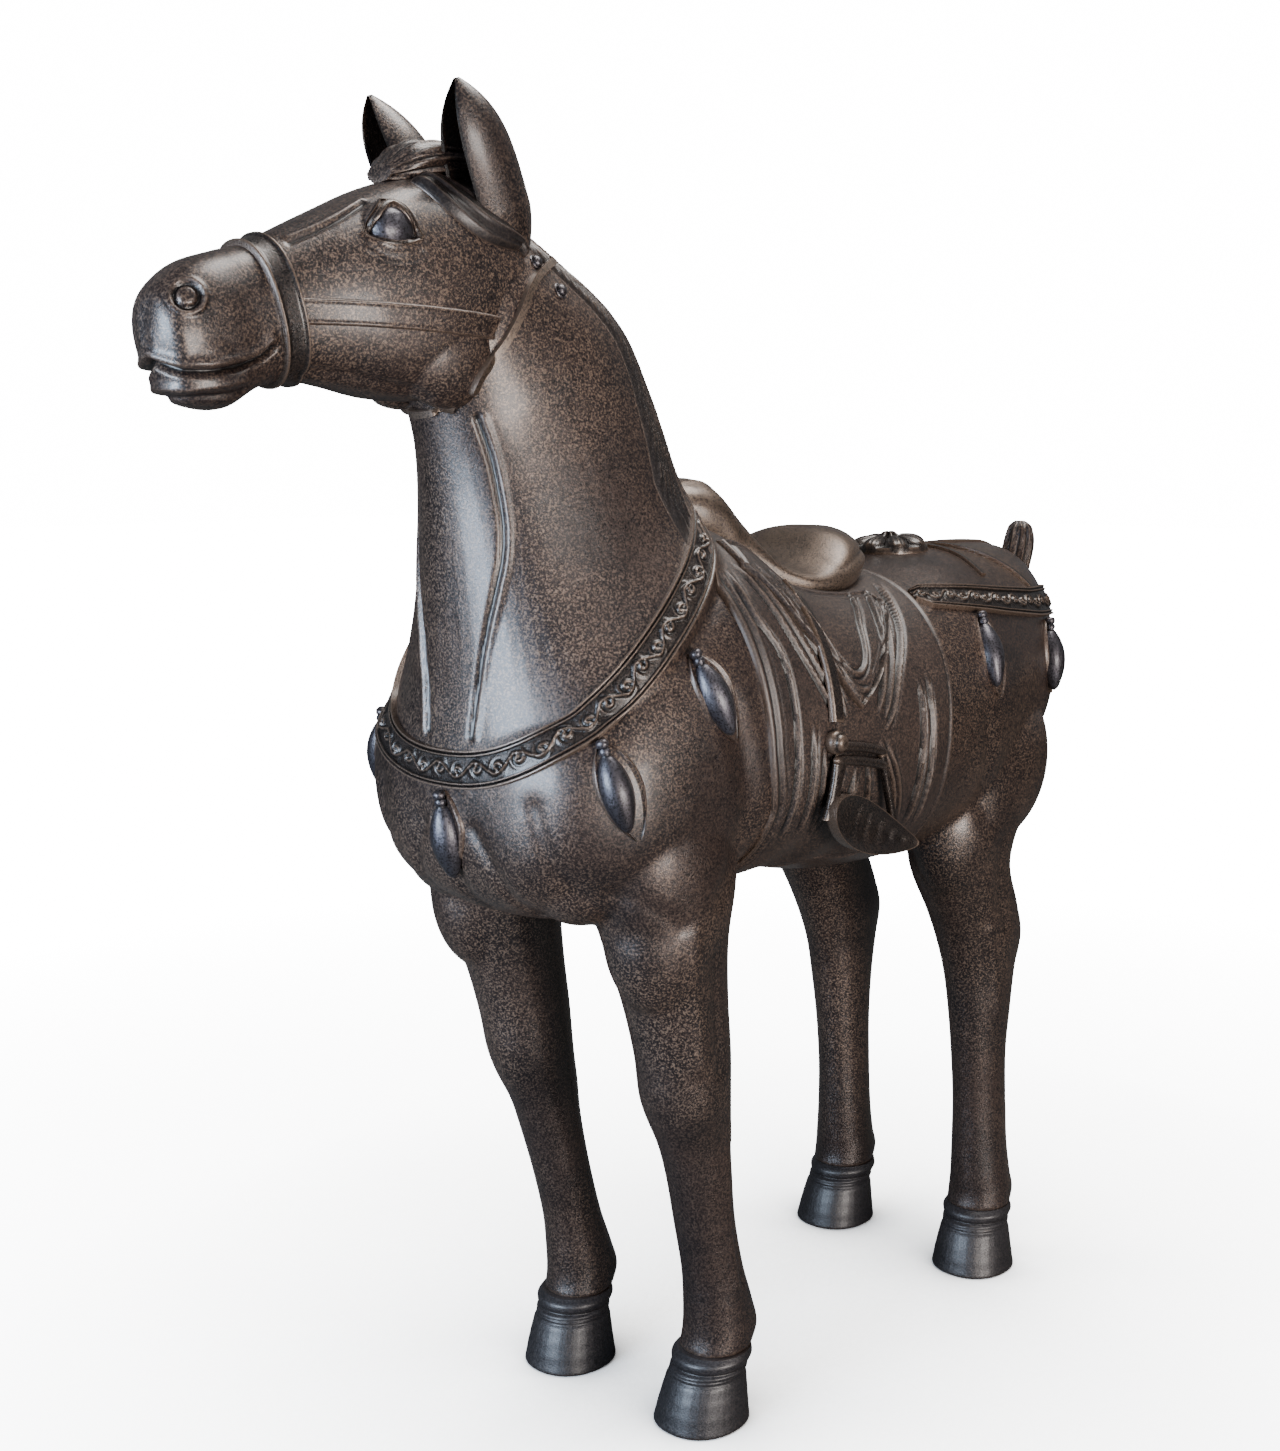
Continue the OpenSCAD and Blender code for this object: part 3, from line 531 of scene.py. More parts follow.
GOLD = (0.19, 0.13, 0.095, 1)
MATERIALS = {
    "body": bronze("bronze_body", (0.016, 0.0108, 0.011, 1), (0.042, 0.026, 0.0215, 1), 1.0, 0.3, 0.32, 0.38),
    "cloth": bronze("bronze_cloth", (0.021, 0.014, 0.013, 1), (0.045, 0.0285, 0.0235, 1), 0.5, 0.35, 0.44, 0.3),
    "trim": bronze("bronze_trim", (0.013, 0.01, 0.01, 1), (0.03, 0.021, 0.017, 1), 0.2, 0.7, 0.3, 0.5),
    "saddle": bronze("bronze_saddle", (0.085, 0.06, 0.044, 1), (0.14, 0.1, 0.074, 1), 0.2, 0.5, 0.36, 0.6),
    # drop bronze, worn by the tassel drops, eyeballs and studs: its bluish grey colour, lighter than the body, is a
    # painted reflection of the bluish window light
    "drop": bronze("bronze_drop", (0.05, 0.045, 0.052, 1), (0.085, 0.08, 0.095, 1), 0.0, 0.1, 0.34, 0.8),
    "hoof": bronze("bronze_hoof", (0.016, 0.015, 0.018, 1), (0.03, 0.027, 0.03, 1), 0.2, 0.2, 0.42, 0.4),
    "hair": bronze("bronze_hair", (0.013, 0.01, 0.0105, 1), (0.028, 0.02, 0.018, 1), 0.15, 0.5, 0.36, 0.45),
}


def steel():
    """Drawn steel of the armature, with a faint length-ways grain and a brown bloom."""
    material = bpy.data.materials.new("armature_steel")
    material.use_nodes = True
    n = Nodes(material)
    place = n.add("TexCoord").outputs["Object"]
    cloud = n.noise(place, 30.0, 5.0)
    colour = n.mix(n.ramp(cloud, 0.4, 0.75), (0.42, 0.42, 0.43, 1), (0.2, 0.13, 0.09, 1))
    shader = n.tree.nodes["Principled BSDF"]
    n.set(shader, "Base_Color", colour)
    n.set(shader, "Metallic", 1.0)
    n.set(shader, "Roughness", n.ramp(cloud, 0.3, 0.8, 0.3, 0.6))
    bump = n.add("Bump", Strength=0.2, Distance=0.001, Height=n.noise(place, 400.0, 2.0))
    n.set(shader, "Normal", bump.outputs[0])
    return material


# ---- Pieces ----

def dress(obj, material, nodes):
    obj.data.materials.append(MATERIALS[material])
    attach(obj, "root")
    if nodes:
        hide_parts(*nodes)


def piece(name, shape, material, nodes=(), crease=50, level=0):
    """A visible piece from closed points and faces."""
    mesh = new_mesh(name, *shape)
    work = bmesh.new()
    work.from_mesh(mesh)
    bmesh.ops.recalc_face_normals(work, faces=work.faces)
    work.to_mesh(mesh)
    work.free()
    mesh.shade_smooth()
    mesh.set_sharp_from_angle(angle=math.radians(crease))
    obj = bpy.data.objects.new(name, mesh)
    bpy.context.scene.collection.objects.link(obj)
    if level:
        subdivide = obj.modifiers.new("rounded", "SUBSURF")
        subdivide.levels = level
        subdivide.render_levels = level
    dress(obj, material, nodes)
    return obj


# ---- Sculpted body ----

def body_clay():
    shapes = [shell(grid_of(TRUNK, 90, 72)), shell(grid_of(NECK, 50, 64, 0.6, 6.6))]
    for side in SIDES.values():
        shapes.append(shell(grid_of(FORELEG, 110, 40, side=side)))
        shapes.append(shell(grid_of(HIND_LEG, 110, 40, side=side)))
    # shoulder, forearm, elbow, thigh, stifle and gaskin
    masses = [
        ((500, 196, 900), (110, 62, 150)), ((508, 178, 800), (92, 74, 130)), ((-330, 176, 930), (150, 78, 150)),
        ((-250, 168, 820), (96, 70, 120)), ((610, 120, 900), (80, 90, 90)),
    ]
    for centre, radii in masses:
        shapes += [ball(c, radii) for c in both(centre)]
    clay = Clay(joined(*shapes), 0.0038)
    p = clay.points
    x, y, z = p[:, 0], np.abs(p[:, 1]), p[:, 2]

    def around(cx, cy, cz, r):
        d = ((x - cx) ** 2 + (y - cy) ** 2 + (z - cz) ** 2) / r**2
        return np.exp(-d * d)

    fore = around(0.5, 0.17, 0.82, 0.17)
    hind = around(-0.31, 0.17, 0.83, 0.2)
    crest = np.exp(-(((x * 0.643 + z * 0.766) - (0.535 * 0.643 + 1.2 * 0.766)) / 0.05) ** 2)
    clay.relax(24, np.clip(fore + hind, 0, 1))
    clay.relax(14, np.clip(crest, 0, 1) * (z > 1.0))
    clay.smooth(8)
    clay.ready()
    return clay


def sculpt_body(clay):
    # strips down the front of the neck
    front = [(738, 66, 1490), (722, 73, 1440), (713, 79, 1386), (711, 83, 1348), (713, 82, 1309),
             (719, 72, 1257), (725, 61, 1204), (729, 50, 1138), (737, 43, 1075)]
    clay.trace(front, 4, -6)
    clay.trace([(x - 5, y + 8, z) for x, y, z in front], 4.5, 2.5)
    # breast muscles and the fold above each foreleg
    clay.trace([(748, 0, 960), (742, 0, 900), (716, 0, 850), (660, 0, 812)], 14, -7)
    clay.trace([(742, 50, 950), (728, 76, 905), (700, 84, 868), (650, 90, 832)], 12, -5)
    clay.trace([(722, 150, 990), (706, 160, 930), (672, 170, 880), (610, 172, 838)], 14, -5)
    clay.bump((700, 112, 930), (50, 46, 70), 7)
    clay.bump((600, 236, 960), (90, 40, 110), 6)
    # shoulder blade, elbow and flank
    clay.trace([(470, 268, 1120), (440, 274, 1020), (430, 268, 920), (470, 250, 850)], 22, -6)
    clay.trace([(634, 200, 870), (590, 232, 850), (540, 236, 820)], 14, -4)
    clay.bump((-230, 240, 950), (70, 60, 120), 6)
    clay.trace([(-180, 262, 1010), (-200, 250, 920), (-235, 225, 850)], 20, -5)
    # knees, hocks, tendons and fetlocks
    clay.bump((468, 168, 490), (30, 46, 44), 5)
    clay.bump((352, 158, 478), (26, 40, 30), 4)
    clay.trace([(372, 200, 440), (352, 196, 320), (338, 194, 220)], 8, -3.5)
    clay.trace([(392, 204, 430), (374, 196, 320), (352, 196, 220)], 9, 2.5)
    clay.bump((-460, 152, 590), (26, 30, 50), 7)
    clay.trace([(-418, 196, 560), (-408, 190, 440), (-408, 190, 300)], 8, -3.5)
    clay.trace([(-300, 206, 640), (-330, 205, 560), (-352, 200, 480)], 11, 3)
    clay.bump((300, 146, 140), (22, 40, 22), 4)
    clay.bump((-440, 150, 135), (22, 40, 22), 4)
    # muscles of the forearm and the gaskin
    clay.trace([(520, 236, 800), (500, 232, 700), (480, 226, 600)], 18, 4)
    clay.trace([(470, 232, 760), (452, 226, 660), (436, 220, 580)], 12, -4)
    clay.trace([(-290, 240, 800), (-300, 232, 720), (-340, 222, 640)], 16, -4)
    clay.work()
    clay.smooth(1)
    return clay.skin()


def parted(bm, place, direction):
    """Cuts a closed bmesh in two with a plane and closes both; the first half is on the side direction points to."""
    halves = []
    for sign in (1, -1):
        half = bm.copy()
        cut = bmesh.ops.bisect_plane(
            half, geom=half.verts[:] + half.edges[:] + half.faces[:], plane_co=place,
            plane_no=Vector(direction) * sign, clear_inner=True)
        rim = [e for e in cut["geom_cut"] if isinstance(e, bmesh.types.BMEdge)]
        bmesh.ops.edgeloop_fill(half, edges=rim)
        halves.append(half)
    bm.free()
    return halves


def cast_piece(name, bm, nodes):
    """A casting from one part of the sculpted body, shaded by the normals of the whole."""
    mesh = bpy.data.meshes.new(name)
    bmesh.ops.recalc_face_normals(bm, faces=bm.faces)
    bm.to_mesh(mesh)
    bm.free()
    mesh.shade_smooth()
    normals = np.zeros(len(mesh.vertices) * 3)
    mesh.attributes["whole"].data.foreach_get("vector", normals)
    mesh.attributes.remove(mesh.attributes["whole"])
    mesh.normals_split_custom_set_from_vertices(unit(normals.reshape(-1, 3)).tolist())
    obj = bpy.data.objects.new(name, mesh)
    bpy.context.scene.collection.objects.link(obj)
    dress(obj, "body", nodes)
    return obj


def castings(clay):
    """Parts the sculpted body along the planes where its castings are welded together."""
    whole = clay.mesh.attributes.new("whole", "FLOAT_VECTOR", "POINT")
    whole.data.foreach_set("vector", clay.normals.ravel())
    bm = bmesh.new()
    bm.from_mesh(clay.mesh)
    neck, rest = parted(bm, (0.535, 0, 1.2), (0.643, 0, 0.766))
    front, rest = parted(rest, (0.33, 0, 0), (1, 0, 0))
    rump, barrel = parted(rest, (-0.1, 0, 0), (-1, 0, 0))
    chest, forelegs = parted(front, (0, 0, 0.785), (0, 0, 1))
    rump, hind_legs = parted(rump, (0, 0, 0.765), (0, 0, 1))
    cast_piece("neck_casting_bronze", neck, ["neck_casting"])
    cast_piece("chest_casting_bronze", chest, ["chest_casting"])
    cast_piece("barrel_casting_bronze", barrel, ["barrel_casting"])
    cast_piece("rump_casting_bronze", rump, ["rump_casting"])
    for kind, pair in (("foreleg", forelegs), ("hind_leg", hind_legs)):
        for side, half in zip(SIDES, parted(pair, (0, 0, 0), (0, 1, 0))):
            cast_piece(f"{kind}_{side}_bronze", half, [f"{kind}_{side}"])


# ---- Head ----

EYE = (881, 62, 1713)


EYE_OUT = (0.25, 0.96, 0.1)


def sculpt_head():
    shapes = [shell(grid_of(HEAD, 110, 80))]
    masses = [((770, 46, 1590), (92, 44, 88)), ((1115, 26, 1560), (50, 30, 46)), ((875, 62, 1714), (35, 30, 33))]
    for centre, radii in masses:
        shapes += [ball(c, radii) for c in both(centre)]
    clay = Clay(joined(*shapes), 0.0024)
    clay.smooth(10)
    clay.relax(3, np.ones(len(clay.points)))
    clay.ready()
    # hollow for the eyeball, and the soft fold below it
    ahead, up, out = clay.about(EYE, EYE_OUT)
    span = np.clip(np.abs(ahead + 6) / 34, 0, 1)
    above = up - (-10 + 36 * (1 - span**1.8))
    below = (-10 - 8 * (1 - span**2)) - up
    inside = np.clip((37 - np.abs(ahead + 6)) / 4, 0, 1) * (out > 0)
    clay.press(-8 * np.clip(0.5 - np.maximum(above, below) / 5, 0, 1) * inside)
    clay.trace([(912, 70, 1686), (890, 80, 1676), (866, 86, 1676), (846, 89, 1684)], 6, -2)
    # line from the eye down the nose
    ridge = [(1005, 42, 1693), (980, 48, 1706), (950, 52, 1722), (925, 52, 1738), (902, 50, 1754)]
    clay.trace(ridge, 4, -3.5)
    clay.trace([(x, y - 5, z + 7) for x, y, z in ridge], 4.5, 2.5)
    # jaw
    clay.bump((790, 60, 1560), (80, 50, 40), 5)
    clay.trace([(990, 34, 1536), (930, 52, 1530), (870, 60, 1516), (820, 62, 1504)], 9, -4)
    # nostril: a button in a groove, with a rim behind it
    ahead, up, out = clay.about((1149, 43, 1620), (0.5, 0.86, 0.1))
    r = np.hypot(ahead, up)
    rim = 0.55 - 0.45 * np.cos(np.arctan2(up, ahead))
    button = 1.5 * np.exp(-((r / 10) ** 4)) - 6 * np.exp(-(((r - 14.5) / 2.6) ** 2))
    clay.press((out > -26) * (button + 5 * rim * np.exp(-(((r - 19.5) / 3.0) ** 2))))
    # lips: the long mouth line, with a ridge above and below it
    mouth = [(1176, 0, 1546), (1160, 30, 1537), (1122, 50, 1536), (1082, 50, 1544), (1056, 50, 1552), (1040, 50, 1566)]
    clay.trace(mouth, 4.5, -11)
    clay.trace([(x, y, z + 11) for x, y, z in mouth], 6, 4)
    clay.trace([(1158, 0, 1520), (1148, 26, 1520), (1116, 44, 1522), (1076, 44, 1530)], 6, 5)
    clay.trace([(1150, 0, 1506), (1140, 24, 1506), (1110, 38, 1508), (1070, 38, 1516)], 5, -4)
    clay.bump((1180, 0, 1590), (20, 16, 30), -3)
    clay.work()
    clay.smooth(1)
    skin = clay.skin()
    mesh = clay.mesh
    mesh.name = "head_casting_bronze"
    mesh.shade_smooth()
    obj = bpy.data.objects.new("head_casting_bronze", mesh)
    bpy.context.scene.collection.objects.link(obj)
    dress(obj, "body", ["head_casting"])
    return skin


def eyes(head):
    """Bronze eyeballs with a slightly flattened iris, and their lids: fine cords in arcs one above the other."""
    out = unit(np.array(EYE_OUT, float))
    ahead = unit(np.cross(out, [0, 0, 1]))
    up = np.cross(ahead, out)
    lids = [
        # half the width, height of the arc above the corners, height of the corners, thickness, height
        (37, 41, -11, 5.0, 4.0),
        (41, 46, -9, 4.0, 3.4),
        (37, -9, -11, 5.0, 3.0),
    ]
    for side, s in SIDES.items():
        x, y, z = EYE
        lat = np.radians(np.linspace(-89, 89, 36))[:, None]
        lon = np.radians(np.arange(48) * 7.5)
        r = 1 - 0.03 * (lat > 1.0)
        grid = np.stack([x - 6 + 33 * r * np.cos(lat) * np.cos(lon), s * (y + 27.5 * r * np.sin(lat) + 0 * lon),
                         z + 30 * r * np.cos(lat) * np.sin(lon)], -1)
        piece(f"eye_{side}_bronze", shell(grid * MM), "drop", [f"eye_{side}"])
        shapes = []
        for half, rise, drop, wide, proud in lids:
            t = np.linspace(-1, 1, 13)[:, None]
            path = np.array(EYE) + (half * t - 6) * ahead + (drop + rise * (1 - np.abs(t) ** 1.7)) * up
            path = head.cast(path * [1, s, 1] * MM, out * [1, s, 1] + 0 * path, 0.05)
            shapes.append(band(head, path, wide * MM, plain(proud * MM), 0.0015, 10, sink=0.002))
        piece(f"eyelids_{side}_bronze", joined(*shapes), "trim", ())


def ears():
    """Rolled leaf-shaped ears with a rim and a grooved hollow."""
    root, tip = np.array([696, 60, 1748.0]), np.array([780, 83, 1900.0])
    t = np.linspace(-0.3, 1, 76)[:, None]
    a = np.linspace(40, 320, 71)[None, :]
    edge = np.abs(a - 180) / 140

    def leaf(inset):
        w = 4 + 48 * (1 - np.maximum(t, 0) ** 4) * (1 - 2.2 * np.minimum(t, 0) ** 2) + 22 * np.minimum(t, 0) + inset
        x = 0.95 * w * np.cos(np.radians(a))
        y = 0.72 * w * np.sin(np.radians(a))
        turn = math.radians(-6)
        c = root + (tip - root) * t[..., None]
        shift = np.stack([x * math.cos(turn) - y * math.sin(turn), x * math.sin(turn) + y * math.cos(turn), -0.35 * x], -1)
        return c + shift

    for side, s in SIDES.items():
        rim = 1.6 * np.exp(-(((edge - 1) / 0.07) ** 2))
        outer = leaf(0.0 * a - 0.4) * [1, s, 1]
        inner = leaf(-np.minimum(6.5, 1.6 + 12 * (1 - t)) + 0.5 * np.cos(9 * np.radians(a)) * np.clip(1 - t, 0, 1) + rim) * [1, s, 1]
        piece(f"ear_{side}_bronze", slab(outer * MM, inner * MM), "body", [f"ear_{side}"], 60)


# ---- Hooves ----

def hooves():
    """Hooves with two coronet rings, a faint grain down the wall and a rounded bearing edge."""
    base, track = 367.5, 147.5
    for kind, x, splay in (("front", base, -8), ("hind", -base, 6)):
        for side, s in SIDES.items():
            u = np.linspace(0, len(HOOF) - 1, 90)
            st = station(HOOF, u)
            st[:, 0] += x
            st[:, 1] = track + splay * st[:, 1]
            a = np.arange(120) * 3.0
            z = st[:, 2][:, None]
            ring = 3.2 * np.exp(-(((z - 103) / 7) ** 2)) - 3 * np.exp(-(((z - 90) / 3) ** 2))
            ring = ring + 1.6 * np.exp(-(((z - 84) / 4) ** 2)) - 1.6 * np.exp(-(((z - 75) / 3) ** 2))
            grain = 0.12 * np.sin(np.radians(a) * 34 + 2 * np.sin(np.radians(a) * 3)) * (z < 72)
            growth = 0.12 * np.sin(z / 3.4) * (z < 68)
            foot = -3.0 * np.clip((4 - z) / 4, 0, 1) ** 2
            grid = loft(st, np.arange(90)[:, None] * 1.0, a, ring + grain + growth + foot, s)
            grid[-1, :, 2] = 0
            grid[0, :, 2] = 0.112
            piece(f"{kind}_hoof_{side}_bronze", shell(grid), "hoof", [f"{kind}_hoof_{side}"])


# ---- Bands ----

def band(skin, path, width, height, step=0.0025, across=20, loop=False, sink=0.004, ease=3):
    """Closed points and faces of a band laid on a skin. height(s, v) is how far it stands proud, at the
    distance s along it and at v from -1 to 1 across it. width may be a number or a function of s / length."""
    line, normals = skin.snap(curve(path, step, loop))
    line = averaged(line, 4, loop)
    normals = unit(averaged(normals, 8, loop))
    if loop:
        tangent = np.roll(line, -1, 0) - np.roll(line, 1, 0)
    else:
        tangent = np.gradient(line, axis=0)
    side = unit(np.cross(normals, unit(tangent)))
    gaps = np.linalg.norm(np.diff(line, axis=0), axis=1)
    s = np.concatenate([[0], np.cumsum(gaps)])[:, None]
    half = (width(s / s[-1]) if callable(width) else width + 0 * s) / 2
    v = np.linspace(-1, 1, across + 1)[None, :]
    flat = line[:, None] + side[:, None] * (half * v)[..., None]
    base, out = skin.snap(flat)
    for _ in range(ease):
        base = averaged(base, 1, loop)
        out = unit(averaged(out, 2, loop))
    top = base + out * height(s, v)[..., None]
    low = base[:, ::-4] - out[:, ::-4] * sink
    return shell(np.concatenate([top, low], 1), loop=loop)


def cord(v, centre, radius):
    """Height of a round cord that runs along a band."""
    return np.sqrt(np.maximum(0, 1 - ((v - centre) / radius) ** 2))


def scroll(s, v, pitch, half):
    """Height of a plain running scroll: alternate volutes joined by a wave. s and half are in metres."""
    cell = np.floor(s / pitch)
    up = 1 - 2 * (cell % 2)
    x = s - (cell + 0.5) * pitch
    y = v * half - 0.16 * half * up
    r = np.hypot(x, y) / half
    turn = np.arctan2(y * up, x)
    spiral = 0.5 + 0.5 * np.cos(turn * 2 - r * 9.0)
    wave = np.exp(-(((v * half - 0.55 * half * np.sin(s * math.pi / pitch)) / (0.14 * half)) ** 2))
    eye = np.exp(-((r / 0.2) ** 2))
    return np.clip(np.maximum(np.maximum(spiral * np.exp(-((r / 0.78) ** 4)), eye), 0.9 * wave), 0, 1)


def relief(width, proud, pitch):
    """Height function of a band with double cords at both edges and a running scroll between them."""
    def height(s, v):
        edge = np.clip((1 - np.abs(v)) / 0.05, 0, 1)
        cords = 0.0038 * np.maximum(cord(np.abs(v), 0.9, 0.1), cord(np.abs(v), 0.7, 0.08))
        field = (np.abs(v) < 0.6) * 0.0046 * scroll(s, v / 0.6, pitch, 0.3 * width)
        return (proud + cords + field) * edge - 0.001
    return height


def plain(proud, bead=0.0):
    """Height function of a smooth strap with slightly raised edges."""
    def height(s, v):
        edge = np.clip((1 - np.abs(v)) / 0.12, 0, 1) ** 0.5
        return (proud + bead * np.exp(-(((np.abs(v) - 0.78) / 0.14) ** 2))) * edge - 0.0005
    return height


def collar(skin):
    path = loft(COLLAR, np.full(96, 0.5), np.arange(96) * 3.75, 6)
    shape = band(skin, path, 0.052, relief(0.052, 0.006, 0.034), 0.0016, 36, loop=True)
    piece("breast_collar_relief", shape, "trim", ["breast_collar"])


def breeching(skin):
    shapes = []
    for s in SIDES.values():
        path = [(-98, s * 172, 1224), (-200, s * 196, 1213), (-300, s * 204, 1203), (-400, s * 198, 1194),
                (-460, s * 186, 1189), (-530, s * 152, 1183), (-580, s * 112, 1178), (-612, s * 66, 1174)]

        def width(t):
            return 0.056 * np.clip(0.45 + t * 12, 0.45, 1)

        shapes.append(band(skin, np.array(path) * MM, width, relief(0.056, 0.005, 0.03), 0.0016, 36))
    piece("breeching_band_relief", joined(*shapes), "trim", ["breeching_band"])


def crupper(skin):
    """Two straps over the croup on each side, and one along its middle to the tail."""
    shapes = [band(skin, np.array([(-352, 0, 1286), (-450, 0, 1288), (-540, 0, 1284), (-606, 0, 1264)]) * MM, 0.02,
                   plain(0.0045, 0.0015), 0.003, 12)]
    for s in SIDES.values():
        for path in (
            [(-352, s * 20, 1286), (-350, s * 60, 1282), (-342, s * 100, 1270), (-328, s * 138, 1254), (-322, s * 160, 1240)],
            [(-392, s * 20, 1286), (-402, s * 70, 1280), (-420, s * 120, 1262), (-445, s * 158, 1232), (-462, s * 176, 1208)],
        ):
            shapes.append(band(skin, np.array(path) * MM, 0.013, plain(0.0055), 0.0025, 10))
    piece("crupper_straps_relief", joined(*shapes), "trim", ["crupper_straps"])


def bridle(head, neck):
    nose = loft(HEAD, 6.1 - 0.12 * np.sin(np.radians(np.arange(48) * 7.5)), np.arange(48) * 7.5)
    shape = band(head, nose, 0.037, plain(0.0055, 0.0028), 0.002, 24, loop=True)
    piece("noseband_relief", shape, "trim", ["noseband"])
    for side, s in SIDES.items():
        path = [(1006, s * 56, 1610), (943, s * 70, 1611), (878, s * 85, 1610), (820, s * 92, 1608), (757, s * 92, 1605),
                (722, s * 90, 1602)]
        shape = band(head, np.array(path) * MM, 0.032, plain(0.0028, 0.0014), 0.0025, 20)
        piece(f"cheek_strap_{side}_relief", shape, "body", [f"cheek_strap_{side}"])
    lash = [(592, 78, 1712), (620, 90, 1694), (648, 92, 1676), (671, 94, 1654), (698, 98, 1612), (726, 95, 1574),
            (747, 78, 1541), (758, 50, 1512), (762, 0, 1500)]
    path = np.array(lash + [(x, -y, z) for x, y, z in lash[-2::-1]]) * MM
    both_skins = together(head, neck)
    seen = np.abs(path[:, 1]) > 0.06
    outward = unit(np.stack([0.62 + 0 * path[:, 0], 0.78 * np.sign(path[:, 1]), 0 * path[:, 0]], -1))
    path[seen] = both_skins.cast(path[seen], outward[seen], 0.05)
    # the throatlatch takes the lighter saddle bronze as a painted highlight, for a strap that catches the light
    piece("throatlatch_relief", band(both_skins, path, 0.011, plain(0.009), 0.002, 14), "saddle", ["throatlatch"])
    shapes = []
    for s in SIDES.values():
        for x, z in ((636, 1702), (606, 1660)):
            place, normal = neck.snap(np.array([(x * MM, s * 0.097, z * MM)]))
            shapes.append(stud(place[0], normal[0], 0.0085))
    piece("bridle_studs_bronze", joined(*shapes), "drop", ["bridle_studs"])


def stud(place, normal, r):
    """A domed boss with a stepped rim, standing on a surface."""
    profile = [(1.25, -0.2), (1.3, 0.1), (1.15, 0.24), (1.0, 0.22), (0.98, 0.4), (0.82, 0.72), (0.5, 0.95), (0.02, 1.02)]
    return turned(place, normal, [(a * r, b * r) for a, b in profile], 28)


def turned(place, axis, profile, sides, flutes=None):
    """Body of revolution from (radius, height) pairs along an axis. flutes(angle, row) scales its radius."""
    axis = unit(np.array(axis, float))
    across = unit(np.cross(axis, [0.31, 0.2, 0.93] if abs(axis[2]) < 0.9 else [1, 0, 0]))
    other = np.cross(axis, across)
    a = np.radians(np.arange(sides) * 360 / sides)
    r = np.array([p[0] for p in profile])[:, None] + 0 * a
    if flutes is not None:
        r = r * flutes(a, np.linspace(0, 1, len(profile))[:, None])
    h = np.array([p[1] for p in profile])
    grid = (place + r[..., None] * (np.cos(a)[:, None] * across + np.sin(a)[:, None] * other)
            + h[:, None, None] * axis)
    return shell(grid)


# ---- Tassels ----

TASSELS = {
    # top and tip of the drop on the skin, and how far its leaf's tip lies behind them
    "tassel_breast_centre": ((744, 0, 1000), (724, 0, 890), 0),
    "tassel_breast": ((664, 212, 1078), (640, 236, 954), 16),
    "tassel_shoulder": ((512, 232, 1184), (474, 267, 1064), 18),
    "tassel_hip": ((-209, 222, 1185), (-193, 265, 1056), 16),
    "tassel_rump": ((-462, 206, 1162), (-464, 234, 1034), 14),
}


def drop_profile():
    """Knob, collar and almond drop, from the top down, in metres."""
    top = [(0.0004, 0.001), (0.0065, 0.0), (0.0088, -0.003), (0.0088, -0.008), (0.0064, -0.011), (0.0078, -0.0135),
           (0.0085, -0.017), (0.0064, -0.02)]
    t = np.linspace(0, 1, 40)
    r = 0.0065 + 0.0158 * np.sin(math.pi * t**0.92) ** 0.85
    return top + list(zip(r, -0.022 - 0.1 * t)) + [(0.0035, -0.1245), (0.0004, -0.1265)]


def tassels(skin):
    for name, (top, tip, back) in TASSELS.items():
        for side, s in SIDES.items() if name != "tassel_breast_centre" else [("", 1)]:
            places, normals = skin.snap(np.array([top, tip]) * MM * [1, s, 1])
            ends = places + normals * 0.011

            def flutes(a, row):
                return 1 + 0.012 * np.cos(8 * a) * np.clip(row - 0.25, 0, 1)

            drop = turned(ends[0], ends[0] - ends[1], drop_profile(), 64, flutes)
            label = f"{name}_{side}" if side else name
            piece(f"{label}_bronze", drop, "drop", [label])
            leaf = leaf_plate(skin, places[0], places[1] - np.array([back * MM, 0, 0.004]))
            piece(f"{label}_leaf_bronze", leaf, "body", ())


def leaf_plate(skin, start, end):
    """Leaf-shaped plate with a low raised rim, lying on the skin behind a drop."""
    path = np.array([start + (end - start) * t for t in np.linspace(0.0, 1, 9)])

    def width(t):
        return 0.066 * np.maximum(0.05, np.sin(math.pi * np.clip(t, 0.02, 0.985) ** 0.9)) ** 0.75

    def height(s, v):
        rim = 0.0026 * np.exp(-(((np.abs(v) - 0.86) / 0.09) ** 2))
        return (0.0026 + rim) * np.clip((1 - np.abs(v)) / 0.06, 0, 1)

    return band(skin, path, width, height, 0.0025, 30)


# ---- Saddle and cloth ----

